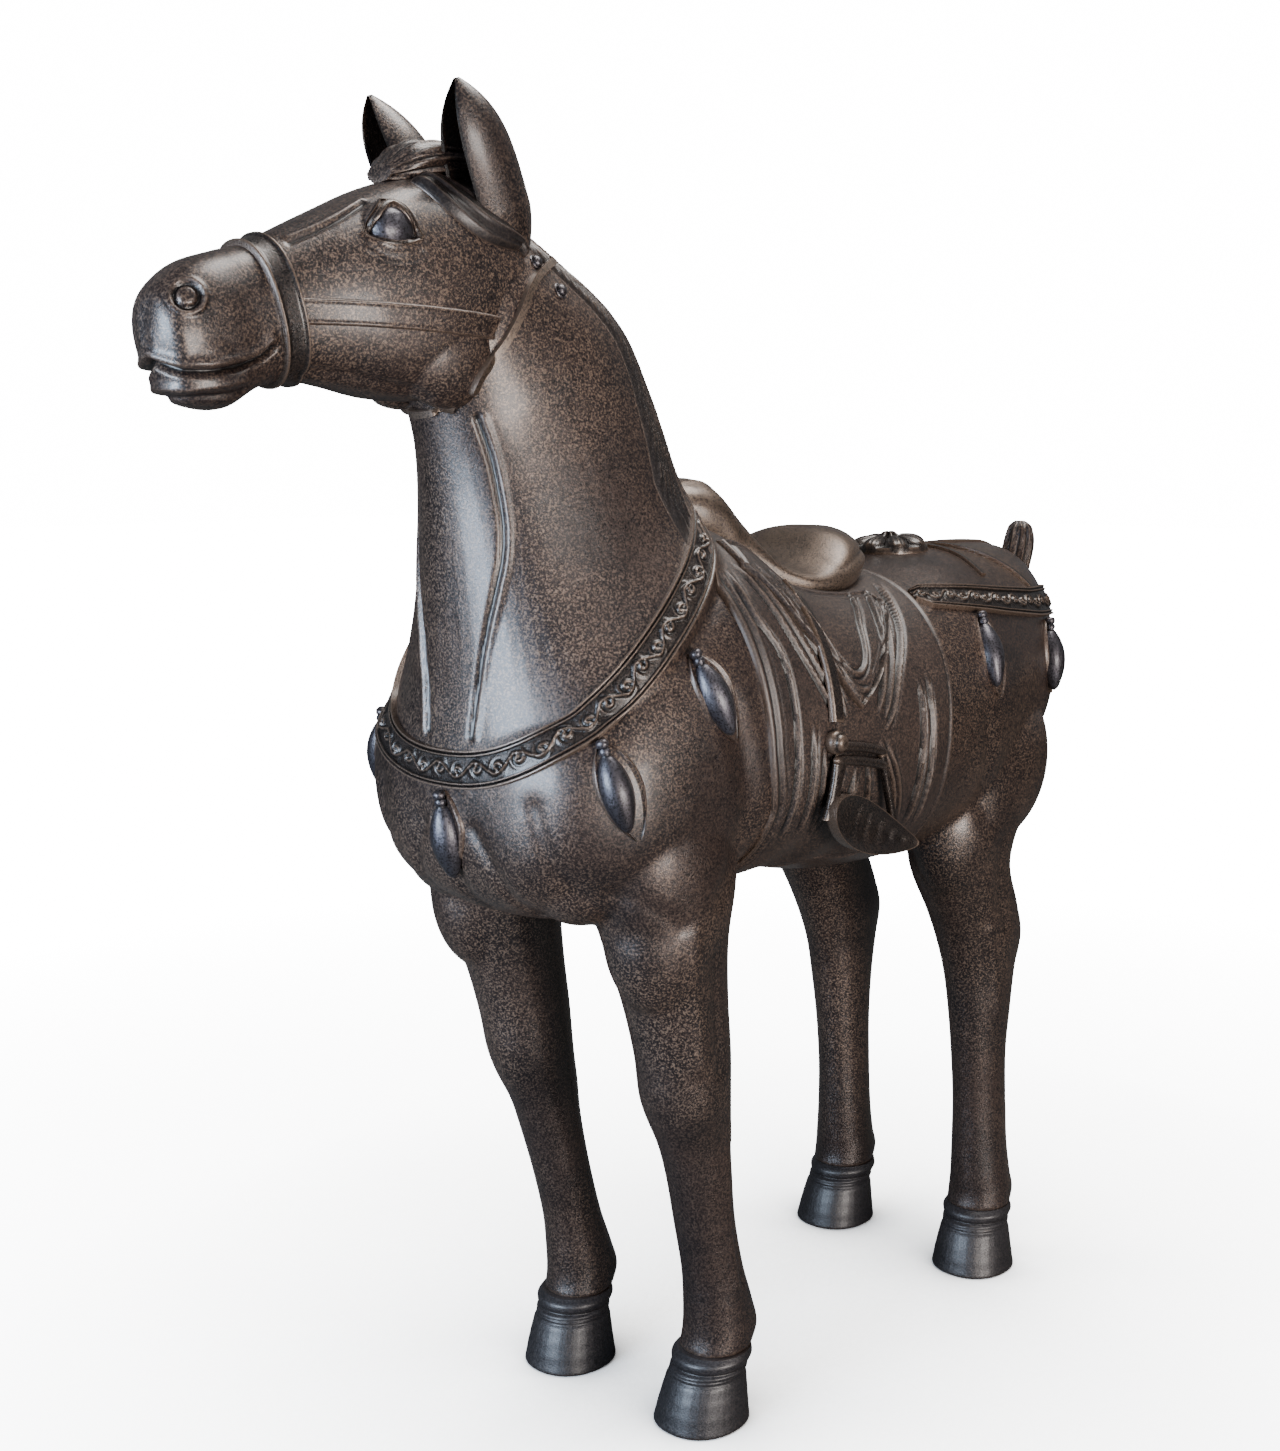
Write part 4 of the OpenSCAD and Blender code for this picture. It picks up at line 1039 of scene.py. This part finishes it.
FOLDS = [
    # path, width, height
    ([(395, 196, 1286), (388, 243, 1226), (357, 268, 1168), (345, 282, 1080), (338, 280, 960), (336, 268, 880)], 3.0, 5),
    ([(372, 190, 1300), (352, 228, 1253), (316, 265, 1173), (270, 284, 1100), (246, 288, 1060)], 3.0, 5),
    ([(352, 190, 1296), (332, 226, 1248), (298, 262, 1180), (256, 284, 1106), (232, 290, 1060)], 2.8, 4),
    ([(330, 190, 1290), (310, 222, 1245), (280, 256, 1190), (244, 282, 1115), (226, 288, 1070)], 3.0, 5),
    ([(300, 180, 1280), (279, 216, 1244), (247, 249, 1188), (222, 266, 1148), (200, 272, 1130), (176, 270, 1130),
      (152, 256, 1148), (120, 226, 1190), (88, 200, 1216), (50, 160, 1246)], 3.2, 6),
    ([(290, 190, 1262), (266, 228, 1222), (240, 256, 1170), (216, 274, 1124), (190, 280, 1106), (164, 278, 1108),
      (140, 264, 1134)], 3.0, 4),
    ([(10, 155, 1230), (60, 213, 1195), (97, 255, 1151), (131, 280, 1100), (152, 286, 1064)], 3.4, 7),
    ([(-14, 150, 1236), (34, 212, 1190), (74, 252, 1146), (112, 278, 1096), (136, 286, 1052)], 3.0, 5),
    ([(-49, 133, 1243), (-12, 193, 1212), (21, 233, 1178), (75, 270, 1123), (117, 286, 1062), (136, 288, 1040)], 3.4, 7),
    ([(34, 268, 1110), (34, 284, 1040), (34, 282, 950), (30, 262, 860)], 3.2, 6),
    ([(10, 262, 1120), (8, 282, 1040), (8, 280, 950), (6, 262, 860)], 3.2, 5),
    ([(306, 288, 1070), (304, 284, 980), (300, 270, 880)], 3.6, 5),
    ([(282, 288, 1040), (276, 284, 960), (262, 270, 876)], 3.2, 4),
    ([(150, 288, 1030), (110, 286, 960), (70, 272, 880)], 3.6, 6),
    ([(128, 288, 1020), (86, 284, 950), (52, 270, 880)], 3.2, 4),
    ([(180, 290, 1010), (160, 286, 940), (140, 270, 868)], 3.6, 5),
    ([(240, 290, 1000), (256, 284, 930), (262, 270, 868)], 3.6, 5),
    ([(206, 290, 1000), (212, 284, 930), (214, 270, 868)], 3.6, 5),
]


def folds(base, out):
    """How far the cast cloth's folds stand proud over a grid of places, in metres."""
    points, faces = shell(base, wrap=False)
    points = points * [1, 0, 1] + np.abs(points) * [0, 1, 0]
    surface = Skin(points, faces, out.reshape(-1, 3))
    lift = np.zeros(len(points))
    for path, width, height in FOLDS:
        line = surface.snap(curve(np.array(path) * MM, 0.003))[0]
        near = np.all((points > line.min(0) - 0.03) & (points < line.max(0) + 0.03), 1)
        gaps = np.linalg.norm(points[near][:, None] - line[None], axis=-1)
        at = gaps.argmin(1)
        d = gaps.min(1) / (width * MM)
        fade = np.clip(np.minimum(at, len(line) - 1 - at) / 12, 0, 1)
        lift[near] += height * MM * fade * (0.8 * np.exp(-d * d) - 0.6 * np.exp(-(((d - 2.0) / 0.8) ** 2)))
    return lift.reshape(base.shape[:2])


def patch(skin, u, a, side=1):
    """Places and outward directions where a grid of stations and angles of the trunk meets the skin."""
    base = loft(TRUNK, u, a, side=side)
    out = unit(loft(TRUNK, u, a, 12.0, side=side) - base)
    return skin.cast(base, out, 0.12), out


def even(grid, rounds):
    """A grid of places smoothed both ways."""
    for _ in range(rounds):
        grid = averaged(grid, 1)
        grid = averaged(grid.swapaxes(0, 1), 1).swapaxes(0, 1)
    return grid


def edge_distance(grid, seam=False):
    """Distance of each place of a grid from its nearest edge, along the grid, in metres. With a seam the last
    column isn't an edge."""
    best = np.full(grid.shape[:2], np.inf)
    for axis in (0, 1):
        steps = np.linalg.norm(np.diff(grid, axis=axis), axis=-1)
        zero = np.zeros_like(np.take(steps, [0], axis))
        s = np.concatenate([zero, np.cumsum(steps, axis)], axis)
        best = np.minimum(best, s)
        if axis == 0 or not seam:
            best = np.minimum(best, np.take(s, [-1], axis) - s)
    return best


def hem(e, proud):
    """A rolled hem with a groove and a second fine line inside it, by the distance from the edge."""
    roll = proud * np.exp(-(((e - 0.005) / 0.004) ** 2)) - 0.7 * proud * np.exp(-(((e - 0.013) / 0.003) ** 2))
    return roll + 0.5 * proud * np.exp(-(((e - 0.021) / 0.003) ** 2))


def cloth(skin):
    """Cast cloth in two halves that meet under the saddle."""
    for side, s in SIDES.items():
        t = np.linspace(0, 1, 190)[:, None]
        k = np.linspace(0, 1, 250)[None, :]
        low = -44 - 34 * t**1.5
        a = low + (90 - low) * k
        high = np.sin(np.radians(a))
        rear = 7.27 - 0.32 * np.maximum(0, high) ** 2
        front = 10.36 + 0.5 * (np.maximum(0, high + 0.3) / 1.3) ** 0.8
        base, out = patch(skin, rear + (front - rear) * t, a, s)
        base = even(base, 3)
        base[:, -1, 1] = 0
        lift = folds(base, out)
        e = edge_distance(base, seam=True)
        sway = 0.002 * np.sin(base[..., 0] * 62 + 1.0) * np.clip((1.06 - base[..., 2]) / 0.1, 0, 1)
        height = 0.004 + 0.0065 * np.clip(e / 0.03, 0, 1) + lift * np.clip(e / 0.008, 0, 1) + sway + hem(e, 0.003)
        piece(f"saddle_cloth_{side}_bronze", slab(base + out * height[..., None], base - out * 0.004), "cloth",
              ["saddle_cloth"], 55)


def flaps(skin):
    for side, s in SIDES.items():
        u = np.linspace(7.65, 10.25, 190)[:, None]
        low = 10 + 40 * (np.abs(u - 8.95) / 1.3) ** 1.2
        t = np.linspace(0, 1, 110)[None, :]
        base, out = patch(skin, u, low + (62 - low) * t, s)
        base = even(base, 3)
        e = edge_distance(base)
        lift = folds(base, out)
        height = 0.0165 + 0.8 * lift * np.clip(e / 0.008, 0, 1) + hem(e, 0.0022)
        height = height - 0.004 * np.exp(-((e / 0.004) ** 2))
        piece(f"saddle_flap_{side}_bronze", slab(base + out * height[..., None], base + out * 0.006), "cloth",
              [f"saddle_flap_{side}"], 55)
        # leather from under the saddle to the stirrup's boss
        a = np.linspace(6, 50, 60)[:, None]
        across = np.linspace(-1, 1, 13)[None, :]
        base, out = patch(skin, 9.46 + 0.1 * across + 0 * a, a + 0 * across, s)
        base = even(base, 3)
        edge = np.clip((1 - np.abs(across)) / 0.25, 0, 1) ** 0.5
        stitches = 0.0006 * np.sin(np.linspace(0, 190, 60))[:, None] * np.exp(-(((np.abs(across) - 0.66) / 0.12) ** 2))
        height = 0.0165 + 0.005 * edge + stitches + 0 * a
        piece(f"stirrup_leather_{side}_bronze", slab(base + out * height[..., None], base + out * 0.012), "trim",
              [f"stirrup_leather_{side}"])


def saddle():
    """Seat, pommel and broad cantle, with a rolled edge along the seat and creases behind the pommel."""
    rows, sides = 150, 128
    u = np.linspace(0, len(SADDLE) - 1, rows)[:, None]
    a = np.arange(sides) * 360 / sides
    a = a[None, :]
    level = np.minimum(np.abs(a - 0), np.abs(a - 180))
    level = np.minimum(level, np.abs(a - 360))
    up = np.where(a > 180, -1, 1) * level
    lip = 3.2 * np.exp(-(((up - 4) / 7) ** 2)) - 3.5 * np.exp(-(((up - 17) / 5) ** 2))
    behind = np.clip((4.2 - u) / 1.5, 0, 1)
    dish = -5.0 * np.exp(-(((a - 90) / 34) ** 2)) * np.exp(-(((u - 5) / 1.4) ** 2))
    ridge = 2.6 * np.exp(-(((np.abs(a - 90) - 26) / 6) ** 2)) * np.exp(-(((u - 7.4) / 1.6) ** 2))
    grid = loft(SADDLE, u, a, lip * behind + dish + ridge)
    piece("saddle_seat_bronze", shell(grid), "saddle", ["saddle_seat"])


def stirrups():
    """A plate of two bars with a boss, a flat branch down from each end, and a broad sloping tread."""
    centre = np.array([212, 299.5, 1018]) * MM
    for side, s in SIDES.items():
        shapes = []
        for low, r in ((-0.011, 0.008), (0.009, 0.0075)):
            t = np.linspace(-1, 1, 41)[:, None]
            ring = np.radians(np.arange(24) * 15)[None, :]
            thin = np.sqrt(np.maximum(0.02, 1 - np.abs(t) ** 8))
            x = 0.065 * t + 0 * ring
            z = low + 0.18 * 0.065 * t - 0.004 * t**2 + r * thin * np.sin(ring)
            y = -0.001 + 0.9 * r * thin * np.cos(ring)
            shapes.append(shell(centre + np.stack([x, y, z], -1)))
        shapes.append(ball((212, 295, 1017), (58, 4, 14), 14, 28))
        boss = centre + np.array([0.056, -0.004, 0.022])
        dome = [(0.016, -0.008), (0.0175, 0.0), (0.016, 0.006), (0.0125, 0.008), (0.012, 0.012), (0.008, 0.0155),
                (0.0004, 0.0165)]
        shapes.append(turned(boss, (0, 1, 0), dome, 32))
        for top, foot, wide in (((46, -3, -4), (64, -7, -88), 15), ((-54, -3, -8), (-98, -7, -132), 8)):
            t = np.linspace(0, 1, 40)[:, None]
            ring = np.radians(np.arange(28) * 360 / 28)[None, :]
            line = np.array(top) + (np.array(foot) - np.array(top)) * t[..., None]
            w = wide * (1 - 0.25 * np.sin(math.pi * t))
            x = line[..., 0] + w * power(np.cos(ring), 0.7)
            y = line[..., 1] + 6 * power(np.sin(ring), 0.8)
            shapes.append(shell(centre + np.stack([x, y, line[..., 2] + 0 * ring], -1) * MM))
        shapes.append(tread(centre + np.array([-0.031, -0.004, -0.115])))
        points, faces = joined(*shapes)
        piece(f"stirrup_{side}_bronze", (points * [1, s, 1], faces), "trim", [f"stirrup_{side}"])


def tread(centre):
    """Broad foot plate that slopes down backwards: a hollow scoop with ribs across it, a rim and a rounded back."""
    turn = np.radians(np.arange(96) * 3.75)[None, :]
    r = np.linspace(0.01, 1, 34)[:, None]
    ribs = 0.0012 * np.cos(r * np.cos(turn) * 22 - 1) * np.clip(0.9 - r, 0, 0.2) / 0.2
    face = 0.010 + 0.005 * r**4 - 0.006 * (1 - r**2) + ribs
    back = -0.024 * np.sqrt(np.maximum(0, 1 - r[::-1] ** 2))
    out = np.concatenate([face, back + 0 * turn])
    radius = np.concatenate([r, r[::-1]])
    x = 0.112 * radius * np.cos(turn)
    z = 0.034 * radius * np.sin(turn) * (1 + 0.5 * np.cos(turn)) + 0.004 * radius * np.cos(2 * turn)
    slope = math.radians(22)
    across = x * math.cos(slope) - z * math.sin(slope)
    up = x * math.sin(slope) + z * math.cos(slope)
    return shell(centre + np.stack([across, out, up], -1))


def rosette(skin):
    """Seven-petalled flower on the croup, a field of heights over a round patch of the skin."""
    centre = np.array([-277, 0, 1288]) * MM
    turn = np.radians(np.arange(168) * 360 / 168)[None, :]
    r = np.linspace(0.012, 1, 34)[:, None]
    x = centre[0] + 0.068 * r * np.cos(turn)
    y = 0.068 * r * np.sin(turn)
    base, out = skin.snap(np.stack([x, y, centre[2] + 0 * x], -1))
    lobe = np.abs(np.cos(3.5 * turn))
    reach = 0.62 + 0.36 * lobe**0.6
    petal = np.clip(1 - (r / reach) ** 4, 0, 1) ** 0.5 * (0.45 + 0.55 * lobe)
    vein = 0.12 * np.cos(42 * turn) * np.clip(r - 0.35, 0, 1)
    eye = np.exp(-((r / 0.2) ** 4)) - 0.5 * np.exp(-(((r - 0.27) / 0.05) ** 2))
    step = 0.009 * np.clip((1 - r) / 0.06, 0, 1)
    height = 0.001 + step + 0.016 * np.clip(petal + vein * petal, 0, 1) + 0.005 * eye
    top = base + out * height[..., None]
    low = base[::-1] - out[::-1] * 0.005
    piece("croup_rosette_relief", shell(np.concatenate([top, low])), "trim", ["croup_rosette"])


# ---- Hair ----

def mane(skin):
    """Hair from the poll down to the withers: a raised field on both sides and a roached crest."""
    u = np.linspace(1.98, 6.25, 250)[:, None]
    edge = np.interp(u, [1.98, 3.3, 4.2, 4.9, 5.6, 6.25], [20, 14, 24, 34, 42, 52])
    t = np.linspace(-1, 1, 161)[None, :]
    a = 90 + (90 - edge) * t
    flat = loft(NECK, u, a)
    out = unit(loft(NECK, u, a, 12.0) - flat)
    base = even(skin.cast(flat, out, 0.06), 4)
    across = np.linalg.norm(base - base[:, 80:81], axis=-1)
    along = np.concatenate([[0], np.cumsum(np.linalg.norm(np.diff(base[:, 80], axis=0), axis=1))])[:, None]
    crest = 0.015 * np.exp(-((across / 0.019) ** 2))
    strands = 0.0011 * np.sin((across * 1.4 + along) * 420 + 2.2 * np.sin(along * 31 + across * 20))
    strands = strands + 0.0007 * np.sin((across * 1.6 + along) * 910)
    ends = np.clip(np.minimum(along, along[-1] - along) / 0.03, 0, 1) ** 0.5
    height = (0.0052 + crest + strands * np.clip((1 - np.abs(t)) / 0.1, 0, 1)) * ends
    height = height * np.clip((1 - np.abs(t)) / 0.08, 0, 1) ** 0.7 - 0.0006
    piece("mane_crest_bronze", slab(base + out * height[..., None], base - out * 0.006), "hair", ["mane_crest"])


def forelock(head, neck):
    """Tuft between the ears, and hair swept back over the poll on both sides."""
    u = np.linspace(0, len(FORELOCK) - 1, 90)[:, None]
    a = np.arange(96) * 3.75
    lock = 2.2 * np.sin(np.radians(a) * 11 + u * 1.3) + 1.0 * np.sin(np.radians(a) * 23 - u)
    taper = np.sin(math.pi * np.clip(u / (len(FORELOCK) - 1), 0.03, 0.97)) ** 0.5
    points, faces = shell(loft(FORELOCK, u, a, lock * taper + 1.0))
    piece("forelock_bronze", (points + [0.004, 0, 0.008], faces), "body", ["forelock"])
    shapes = []
    for s in SIDES.values():
        path = np.array([(800, s * 30, 1782), (775, s * 66, 1758), (740, s * 84, 1738), (700, s * 90, 1728),
                         (655, s * 90, 1722), (615, s * 84, 1724)]) * MM

        def width(t):
            return 0.064 * np.sin(math.pi * np.clip(0.14 + 0.78 * t, 0, 1)) ** 0.6

        def height(d, v):
            lock = 0.0016 * np.sin(v * 9 + d * 26) + 0.0007 * np.sin(v * 21 + d * 40)
            return (0.010 * (1 - v**4) + lock * (1 - v**2)) * np.clip(d / 0.02 + 0.3, 0.3, 1)

        shapes.append(band(head, path, width, height, 0.0025, 36))
    piece("forelock_sweep_bronze", joined(*shapes), "hair")


def tail():
    u = np.linspace(0, len(TAIL) - 1, 110)[:, None]
    a = np.arange(96) * 3.75
    lock = 1.8 * np.sin(np.radians(a) * 9 + u * 0.9) + 0.9 * np.sin(np.radians(a) * 20 - u * 1.4)
    top = np.clip((len(TAIL) - 1 - u) / 0.6, 0, 1)
    piece("tail_stub_bronze", shell(loft(TAIL, u, a, lock * top - 2.2)), "body", ["tail_stub"])


# ---- Stage ----

def floor():
    n = 40
    size = 30.0
    line = np.linspace(-size, size, n)
    grid = np.stack(np.broadcast_arrays(line[:, None], line[None, :], -0.0005), -1)
    mesh = new_mesh("floor", *shell(grid, wrap=False))
    obj = bpy.data.objects.new("floor", mesh)
    bpy.context.scene.collection.objects.link(obj)
    material = bpy.data.materials.new("pale_floor")
    material.use_nodes = True
    n = Nodes(material)
    shader = n.tree.nodes["Principled BSDF"]
    n.set(shader, "Base_Color", (0.9, 0.9, 0.9, 1))
    n.set(shader, "Roughness", 0.9)
    n.set(shader, "Specular_IOR_Level", 0.0)
    # the floor shines by itself, more so far away, so that it fades into the white backdrop
    place = n.add("TexCoord").outputs["Object"]
    away = n.add("VectorMath", i0=place)
    away.operation = "LENGTH"
    n.set(shader, "Emission_Color", (1, 1, 1, 1))
    # ambient occlusion dims the glow under and near the statue: a painted shadow on the floor
    shade = n.add("AmbientOcclusion", Distance=1.3).outputs["AO"]
    glow = n.ramp(away.outputs["Value"], 0.9, 4.6, 9.0, 20.0)
    n.set(shader, "Emission_Strength", n.math("MULTIPLY", glow, n.math("POWER", shade, 3.0)))
    # and it throws little of its light back on the statue
    dull = n.add("BsdfDiffuse", Color=(0.12, 0.12, 0.12, 1))
    seen = n.add("LightPath").outputs["Is Camera Ray"]
    mix = n.add("MixShader", i0=seen, i1=dull.outputs[0], i2=shader.outputs[0])
    n.tree.links.new(mix.outputs[0], n.tree.nodes["Material Output"].inputs[0])
    mesh.materials.append(material)


def area_light(name, place, target, size, power_w, colour):
    light = bpy.data.lights.new(name, "AREA")
    light.shape = "RECTANGLE"
    light.size, light.size_y = size
    light.energy = power_w
    light.color = colour
    obj = bpy.data.objects.new(name, light)
    obj.location = place
    obj.rotation_euler = (Vector(target) - Vector(place)).to_track_quat("-Z", "Y").to_euler()
    bpy.context.scene.collection.objects.link(obj)


def studio():
    world = bpy.data.worlds.new("studio")
    bpy.context.scene.world = world
    world.use_nodes = True
    tree = world.node_tree
    dim = tree.nodes["Background"]
    dim.inputs[0].default_value = (0.92, 0.95, 1.0, 1)
    dim.inputs[1].default_value = 0.16
    white = tree.nodes.new("ShaderNodeBackground")
    white.inputs[1].default_value = 20.0
    # the backdrop is white to the camera and dim as a light
    seen = tree.nodes.new("ShaderNodeLightPath").outputs["Is Camera Ray"]
    mix = tree.nodes.new("ShaderNodeMixShader")
    tree.links.new(seen, mix.inputs[0])
    tree.links.new(dim.outputs[0], mix.inputs[1])
    tree.links.new(white.outputs[0], mix.inputs[2])
    tree.links.new(mix.outputs[0], tree.nodes["World Output"].inputs[0])
    area_light("window", (4.4, -0.2, 1.4), (0.3, 0, 1.0), (2.2, 1.5), 350, (0.66, 0.81, 1.0))
    area_light("fill", (1.0, 4.4, 0.9), (0.0, 0, 0.9), (2.2, 1.4), 235, (1.0, 0.93, 0.87))
    area_light("top", (-0.5, 0.3, 4.0), (0, 0, 1.0), (1.6, 1.6), 120, (1.0, 0.97, 0.93))


def camera():
    data = bpy.data.cameras.new("camera")
    data.sensor_fit = "VERTICAL"
    data.sensor_height = 36
    data.sensor_width = 36
    data.lens = 45.28
    obj = bpy.data.objects.new("camera", data)
    obj.location = (2.3389, 1.8181, 1.45)
    pitch = math.radians(8.584)
    look = Vector((-0.7368 * math.cos(pitch), -0.6761 * math.cos(pitch), -math.sin(pitch)))
    obj.rotation_euler = look.to_track_quat("-Z", "Y").to_euler()
    bpy.context.scene.collection.objects.link(obj)
    bpy.context.scene.camera = obj


def armature():
    """The steel inside keeps its CAD shape and gets its material."""
    material = steel()
    for name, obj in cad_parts.items():
        if name.startswith("armature") or "leg_tube" in name or "sole_plate" in name:
            obj.data.materials.clear()
            obj.data.materials.append(material)


camera()
clay = body_clay()
body_skin = sculpt_body(clay)
castings(clay)
head_skin = sculpt_head()
eyes(head_skin)
ears()
hooves()
armature()
collar(body_skin)
breeching(body_skin)
crupper(body_skin)
bridle(head_skin, body_skin)
tassels(body_skin)
cloth(body_skin)
flaps(body_skin)
saddle()
stirrups()
rosette(body_skin)
mane(body_skin)
forelock(head_skin, body_skin)
tail()
floor()
studio()
